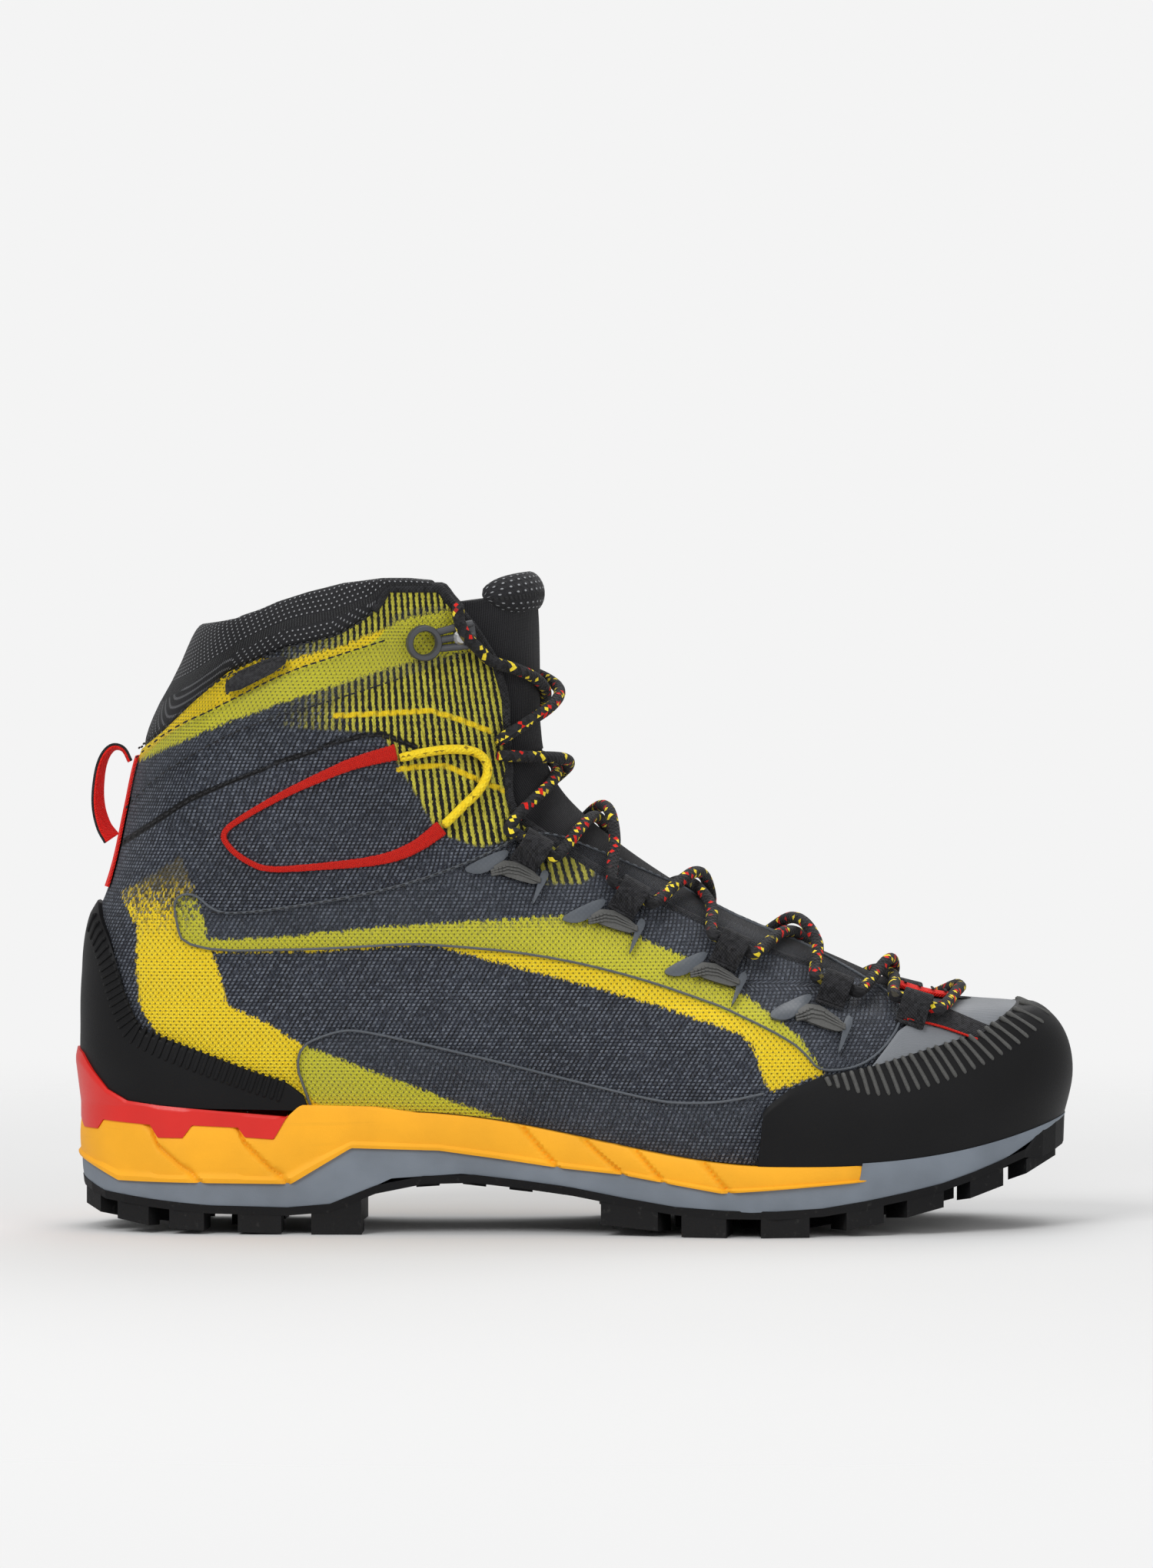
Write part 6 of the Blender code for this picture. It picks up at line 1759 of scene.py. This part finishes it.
def make_small_cloth():
    tag = patch("tag_skin", TAG, "lateral", SKIN + 2.4, 0.7, 1.2, 1, 0.2)
    outline = np.array(TAG, float)
    middle = outline.mean(0)
    inset = middle + (outline - middle) * np.array((0.93, 0.80))
    points, ahead, away, reach = running_bars(np.vstack((inset, inset[:1])), "lateral", SKIN + 2.5, 1.9, 1.3)
    tacks = laid_bars("tag_tacks", points, ahead, away, reach, 0.45, 0.4, finish_of("tag_cloth"))
    tag = joined("collar_tag_skin", [tag, tacks])
    finished(tag, finish_of("tag_cloth"), "cuff", replaces=("collar_tag",), slot="black_fabric")
    rows = np.linspace(5.3, 6.15, 12)
    width = np.interp(rows, (5.3, 5.7, 6.15), (0.11, 0.15, 0.18))
    f = np.linspace(-1, 1, 15)
    points = [surface(-w * k, v, 2.1 - 0.5 * k * k) for v, w in zip(rows, width) for k in f]
    tab = thickened(outward(new_object("throat_tab_skin", points, grid_faces(len(rows), len(f)))), 1.2, 0.3)
    finished(tab, finish_of("red_webbing"), "boot", replaces=("throat_tab",), slot="red_fabric")
    bars, along, away = [], [], []
    for v in (5.42, 5.62, 5.82, 6.02):
        w = float(np.interp(v, (5.3, 5.7, 6.15), (0.10, 0.14, 0.17)))
        spots = surface(np.array((-w * 0.9, w * 0.9)), np.array((v, v)), np.array((2.2, 2.2)))
        bars.append(spots.mean(0) + last_normal(0.0, v) * 0.45)
        along.append(unit(spots[1] - spots[0]))
        away.append(last_normal(0.0, v))
    stripes = laid_bars("throat_tab_stripes", bars, along, away, 14.0, 0.9, 0.6, finish_of("thread"))
    finished(stripes, finish_of("thread"), "boot", slot="black_fabric")


def make_binding():
    """The black edging along the throat and over the cuff's front corner."""
    for side in SIDES:
        turn = 0.0 if side == "lateral" else 2.0
        sign = 1.0 if side == "lateral" else -1.0
        top = float(outline_height(np.array((turn,)), COLLAR_BOTTOM, low=9.0)[0])
        rise = np.linspace(6.7, top - 0.12, 70)
        path = [shell_points(np.array(turn), np.array(v), np.array(-0.4)) for v in rise]
        along = np.linspace(0.004, 0.34, 30)
        tops = outline_height(turn + sign * along, COLLAR_BOTTOM, low=9.0)
        path += [shell_points(np.array(turn + sign * c), np.array(v + 0.02), np.array(-0.5))
                 for c, v in zip(along, tops)]
        obj = tube("edge_binding_" + side, smooth_path(path[::2], 2), 1.6, 10)
        finished(obj, finish_of("webbing"), flex=True, slot="black_fabric")


TAB_WING = ((-20.9, -5.6), (-15, -2.2), (-6.9, 0.9), (-6.4, -1.6), (-13.7, -7.2))
TAB_BOX = ((-12.5, -5.4), (-6.6, -2.0), (3.0, -7.6), (2.6, -10.6), (-5.4, -8.4))
TAB_FIN = ((3.3, -5.4), (5.9, -7.0), (3.0, -12.0), (0.2, -17.3), (1.8, -10.8))


def make_tabs():
    """The moulded feet that anchor the lace loops in the film."""
    for index, (x, z) in enumerate(LOOP_PLACES[1:], 2):
        for side in SIDES:
            parts = [patch("tab", [(x + a, z + b) for a, b in shape], side, SKIN + FILM + lift, lift,
                           0.9, 2, 0.3)
                     for shape, lift in ((TAB_WING, 0.8), (TAB_FIN, 1.1))]
            foot = joined("loop_foot_%d_%s" % (index, side), parts)
            finished(foot, finish_of("tab_plastic"), "boot", slot="film")
            outline = [(x + a, z + b) for a, b in TAB_BOX]
            box = patch("box", outline, side, SKIN + FILM + 1.2, 1.1, 0.8, 1, 0.4)
            rows = []
            for share in (0.25, 0.5, 0.75):
                line = [(x - 11.5 + 0.5 * share, z - 5.2 - 2.6 * share), (x - 5.5, z - 3.0 - 4.4 * share),
                        (x + 2.3, z - 8.0 - 2.0 * share)]
                line = rounded(line, 1, False)
                points, ahead, away, reach = running_bars(line, side, SKIN + FILM + 1.25, 1.1, 1.2)
                rows.append(laid_bars("crimp", points, ahead, away, reach, 0.8, 0.8,
                                      finish_of("tab_plastic"), 0.3))
            crimp = joined("loop_crimp_%d_%s" % (index, side), [box] + rows)
            finished(crimp, finish_of("rib_rubber"), "boot", slot="film")


def make_toe_strap():
    """The webbing that runs from the first lace loop down under the toe rand."""
    for side in SIDES:
        upper = smooth_path([(97, 69.0, 0), (104, 67.6, 0), (112, 64.8, 0), (124, 60.2, 0)], 8)[:, :2]
        lower = smooth_path([(98, 62.5, 0), (104, 61.5, 0), (110, 60.0, 0), (119, 57.0, 0)], 8)[:, :2]
        outline = np.vstack((upper, lower[::-1]))
        strap = patch("toe_strap_" + side, outline, side, SKIN + FILM + 1.2, 1.0, 1.2, 0, 0.25)
        finished(strap, finish_of("webbing"), "boot", slot="black_fabric")
        points, ahead, away, reach = running_bars(lower, side, SKIN + FILM + 1.2, 0.9, 1.1)
        edge = laid_bars("toe_strap_edge_" + side, points, ahead, away, reach, 0.7, 0.7,
                         finish_of("red_thread"))
        finished(edge, finish_of("red_thread"), "boot", slot="red_fabric")


def make_stitching():
    outline = spaced(rounded(RED_OUTLINE, 3, False), 0.55)
    for side in SIDES:
        points, across, away, reach = across_bars(outline, side, 0.35, 0.55,
                                                  lambda t: 5.0 - 3.3 * math.sin(math.pi * t) ** 0.8)
        obj = laid_bars("satin_stitch_" + side, points, across, away, reach, 0.85, 1.7,
                        finish_of("red_thread"), 0.10)
        finished(obj, finish_of("red_thread"), flex=True, slot="red_fabric")
        seams = []
        for path, depth in ((ANKLE_SEAM[1:], 0.25), (COLLAR_BOTTOM[1:9], 0.9)):
            points, ahead, away, reach = running_bars(rounded(path, 2, False), side, depth, 2.3, 1.7)
            seams.append(laid_bars("seam", points, ahead, away, reach, 0.6, 0.6, finish_of("thread")))
        obj = joined("seam_stitches_" + side, seams)
        finished(obj, finish_of("thread"), flex=True, slot="black_fabric")
        edges = []
        for path in (STRAP[:6], STRAP[11:17], CAGE[3:13]):
            line = rounded(path, 2, False)
            points, ahead, away, reach = running_bars(line, side, SKIN + FILM + 0.1, 2.6, 1.9)
            edges.append(laid_bars("edge", points, ahead, away, reach, 0.5, 0.45, finish_of("thread")))
        obj = joined("film_stitches_" + side, edges)
        finished(obj, finish_of("thread"), flex=True, slot="black_fabric")


STUDIO_WHITE = 0.905
SHADE_LIGHT = 0.58
FLOOR_RADIUS = 2600
LAMPS = (("key", (-0.9, -1.4, 1.3), 19.0, 0.9), ("fill", (1.2, -1.6, 0.8), 8.0, 1.1),
         ("top", (0.0, 0.1, 1.8), 9.0, 1.1), ("back", (0.3, 1.2, 1.3), 7.0, 1.0))
LAMP_AIM = (0.0, 0.0, 0.08)
CAMERA_AWAY = 2.4
CAMERA_TILT = 1.5
CAMERA_AIM = (-0.0002, -0.03, 0.1345)
FRAME_HEIGHT = 0.4695
SENSOR_HEIGHT = 36.0


def make_stage():
    """A pale floor that fades into the backdrop, soft lamps and the camera."""
    turns = np.linspace(0, 2 * math.pi, 65)[:-1]
    points = [(FLOOR_RADIUS * math.cos(turn), FLOOR_RADIUS * math.sin(turn), -0.05) for turn in turns]
    floor = new_object("studio_floor", points, [tuple(range(len(points)))])
    floor.data.materials.append(finish_of("floor"))
    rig.stage(floor)
    world = bpy.data.worlds.new("studio")
    world.use_nodes = True
    world.node_tree.nodes["Background"].inputs["Color"].default_value = (STUDIO_WHITE,) * 3 + (1.0,)
    seen = world.node_tree.nodes.new("ShaderNodeLightPath").outputs["Is Camera Ray"]
    dim = world.node_tree.nodes.new("ShaderNodeMapRange")
    dim.inputs["To Min"].default_value = SHADE_LIGHT
    dim.inputs["To Max"].default_value = 1.0
    world.node_tree.links.new(seen, dim.inputs["Value"])
    world.node_tree.links.new(dim.outputs[0], world.node_tree.nodes["Background"].inputs["Strength"])
    bpy.context.scene.view_settings.view_transform = "Standard"
    bpy.context.scene.world = world
    for name, place, power, width in LAMPS:
        data = bpy.data.lights.new(name, "AREA")
        data.energy = power
        data.size = width
        lamp = bpy.data.objects.new(name, data)
        bpy.context.scene.collection.objects.link(lamp)
        lamp.location = place
        aim = Vector(LAMP_AIM) - Vector(place)
        lamp.rotation_euler = aim.to_track_quat("-Z", "Y").to_euler()
    data = bpy.data.cameras.new("camera")
    data.sensor_fit = "VERTICAL"
    data.sensor_height = SENSOR_HEIGHT
    data.lens = SENSOR_HEIGHT * CAMERA_AWAY / FRAME_HEIGHT
    data.clip_end = 20.0
    camera = bpy.data.objects.new("camera", data)
    bpy.context.scene.collection.objects.link(camera)
    tilt = math.radians(CAMERA_TILT)
    aim = Vector(CAMERA_AIM)
    camera.location = aim + Vector((0.0, -CAMERA_AWAY * math.cos(tilt), CAMERA_AWAY * math.sin(tilt)))
    camera.rotation_euler = (aim - camera.location).to_track_quat("-Z", "Y").to_euler()
    bpy.context.scene.camera = camera


# ---------------------------------------------------------------- the add-on

class BOOT_OT_knit(bpy.types.Operator):
    """Build the knitted skin from the sole to the collar"""
    bl_idname = "boot.knit"
    bl_label = "Knit skin"

    def execute(self, context):
        make_knit()
        return {"FINISHED"}


class BOOT_OT_linings(bpy.types.Operator):
    """Build the linings inside the boot and its cuff"""
    bl_idname = "boot.linings"
    bl_label = "Linings"

    def execute(self, context):
        make_linings()
        return {"FINISHED"}


class BOOT_OT_collar(bpy.types.Operator):
    """Build the padded mesh collar"""
    bl_idname = "boot.collar"
    bl_label = "Collar"

    def execute(self, context):
        make_collar()
        return {"FINISHED"}


class BOOT_OT_tongue(bpy.types.Operator):
    """Build the padded tongue and its top roll"""
    bl_idname = "boot.tongue"
    bl_label = "Tongue"

    def execute(self, context):
        make_tongue()
        return {"FINISHED"}


class BOOT_OT_films(bpy.types.Operator):
    """Build the translucent films on the sides, the cuff and the toe"""
    bl_idname = "boot.films"
    bl_label = "Films"

    def execute(self, context):
        make_films()
        return {"FINISHED"}


class BOOT_OT_rands(bpy.types.Operator):
    """Build the ribbed rubber rands at toe and heel"""
    bl_idname = "boot.rands"
    bl_label = "Rands"

    def execute(self, context):
        make_rands()
        return {"FINISHED"}


class BOOT_OT_sole_unit(bpy.types.Operator):
    """Finish the tread, the midsoles and the heel block"""
    bl_idname = "boot.sole_unit"
    bl_label = "Sole unit"

    def execute(self, context):
        make_sole_unit()
        return {"FINISHED"}


class BOOT_OT_inner_parts(bpy.types.Operator):
    """Finish the shank, board, footbed and stiffeners"""
    bl_idname = "boot.inner_parts"
    bl_label = "Inner parts"

    def execute(self, context):
        make_inner_parts()
        return {"FINISHED"}


class BOOT_OT_loops(bpy.types.Operator):
    """Build the webbing loops that the lace runs through"""
    bl_idname = "boot.loops"
    bl_label = "Lace loops"

    def execute(self, context):
        make_loops()
        return {"FINISHED"}


class BOOT_OT_laces(bpy.types.Operator):
    """Build the laces and the ankle cords"""
    bl_idname = "boot.laces"
    bl_label = "Laces and cords"

    def execute(self, context):
        make_laces()
        return {"FINISHED"}


class BOOT_OT_hooks(bpy.types.Operator):
    """Build the top lace hooks"""
    bl_idname = "boot.hooks"
    bl_label = "Hooks"

    def execute(self, context):
        make_hooks()
        return {"FINISHED"}


class BOOT_OT_pull_loop(bpy.types.Operator):
    """Build the pull loop and the tape down the back"""
    bl_idname = "boot.pull_loop"
    bl_label = "Pull loop"

    def execute(self, context):
        make_pull_loop()
        return {"FINISHED"}


class BOOT_OT_small_cloth(bpy.types.Operator):
    """Build the blank collar tag and the striped throat tab"""
    bl_idname = "boot.small_cloth"
    bl_label = "Tags"

    def execute(self, context):
        make_small_cloth()
        return {"FINISHED"}


class BOOT_OT_edging(bpy.types.Operator):
    """Build the edging, the loops' moulded feet and the toe straps"""
    bl_idname = "boot.edging"
    bl_label = "Edging and feet"

    def execute(self, context):
        make_binding()
        make_tabs()
        make_toe_strap()
        return {"FINISHED"}


class BOOT_OT_stitching(bpy.types.Operator):
    """Lay the satin stitch outline, the seams and the edge stitches"""
    bl_idname = "boot.stitching"
    bl_label = "Stitching"

    def execute(self, context):
        make_stitching()
        return {"FINISHED"}


class BOOT_OT_stage(bpy.types.Operator):
    """Set the floor, the lights and the camera"""
    bl_idname = "boot.stage"
    bl_label = "Stage"

    def execute(self, context):
        make_stage()
        return {"FINISHED"}


OPERATORS = (BOOT_OT_stage, BOOT_OT_knit, BOOT_OT_linings, BOOT_OT_collar, BOOT_OT_tongue, BOOT_OT_films,
             BOOT_OT_rands, BOOT_OT_sole_unit, BOOT_OT_inner_parts, BOOT_OT_loops, BOOT_OT_laces,
             BOOT_OT_hooks, BOOT_OT_pull_loop, BOOT_OT_small_cloth, BOOT_OT_edging, BOOT_OT_stitching)


class BOOT_PT_looks(bpy.types.Panel):
    """Lists the boot's pieces and their sizes and colours"""
    bl_idname = "BOOT_PT_looks"
    bl_label = "Mountaineering boot"
    bl_space_type = "VIEW_3D"
    bl_region_type = "UI"
    bl_category = "Boot"

    def draw(self, context):
        for name in BootLooks.__annotations__:
            self.layout.prop(context.scene.boot_looks, name)
        for operator in OPERATORS:
            self.layout.operator(operator.bl_idname)


def register():
    for made in (BootLooks, *OPERATORS, BOOT_PT_looks):
        bpy.utils.register_class(made)
    bpy.types.Scene.boot_looks = PointerProperty(type=BootLooks)


def unregister():
    del bpy.types.Scene.boot_looks
    for made in (BOOT_PT_looks, *reversed(OPERATORS), BootLooks):
        bpy.utils.unregister_class(made)


def main():
    register()
    for operator in OPERATORS:
        group, name = operator.bl_idname.split(".")
        getattr(getattr(bpy.ops, group), name)()
    boxes = {"cad": [list(corner) for corner in CAD_BOX], "visual": [list(corner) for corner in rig.bounds()]}
    with open("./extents.json", "w") as file:
        json.dump(boxes, file)


if __name__ == "__main__":
    main()
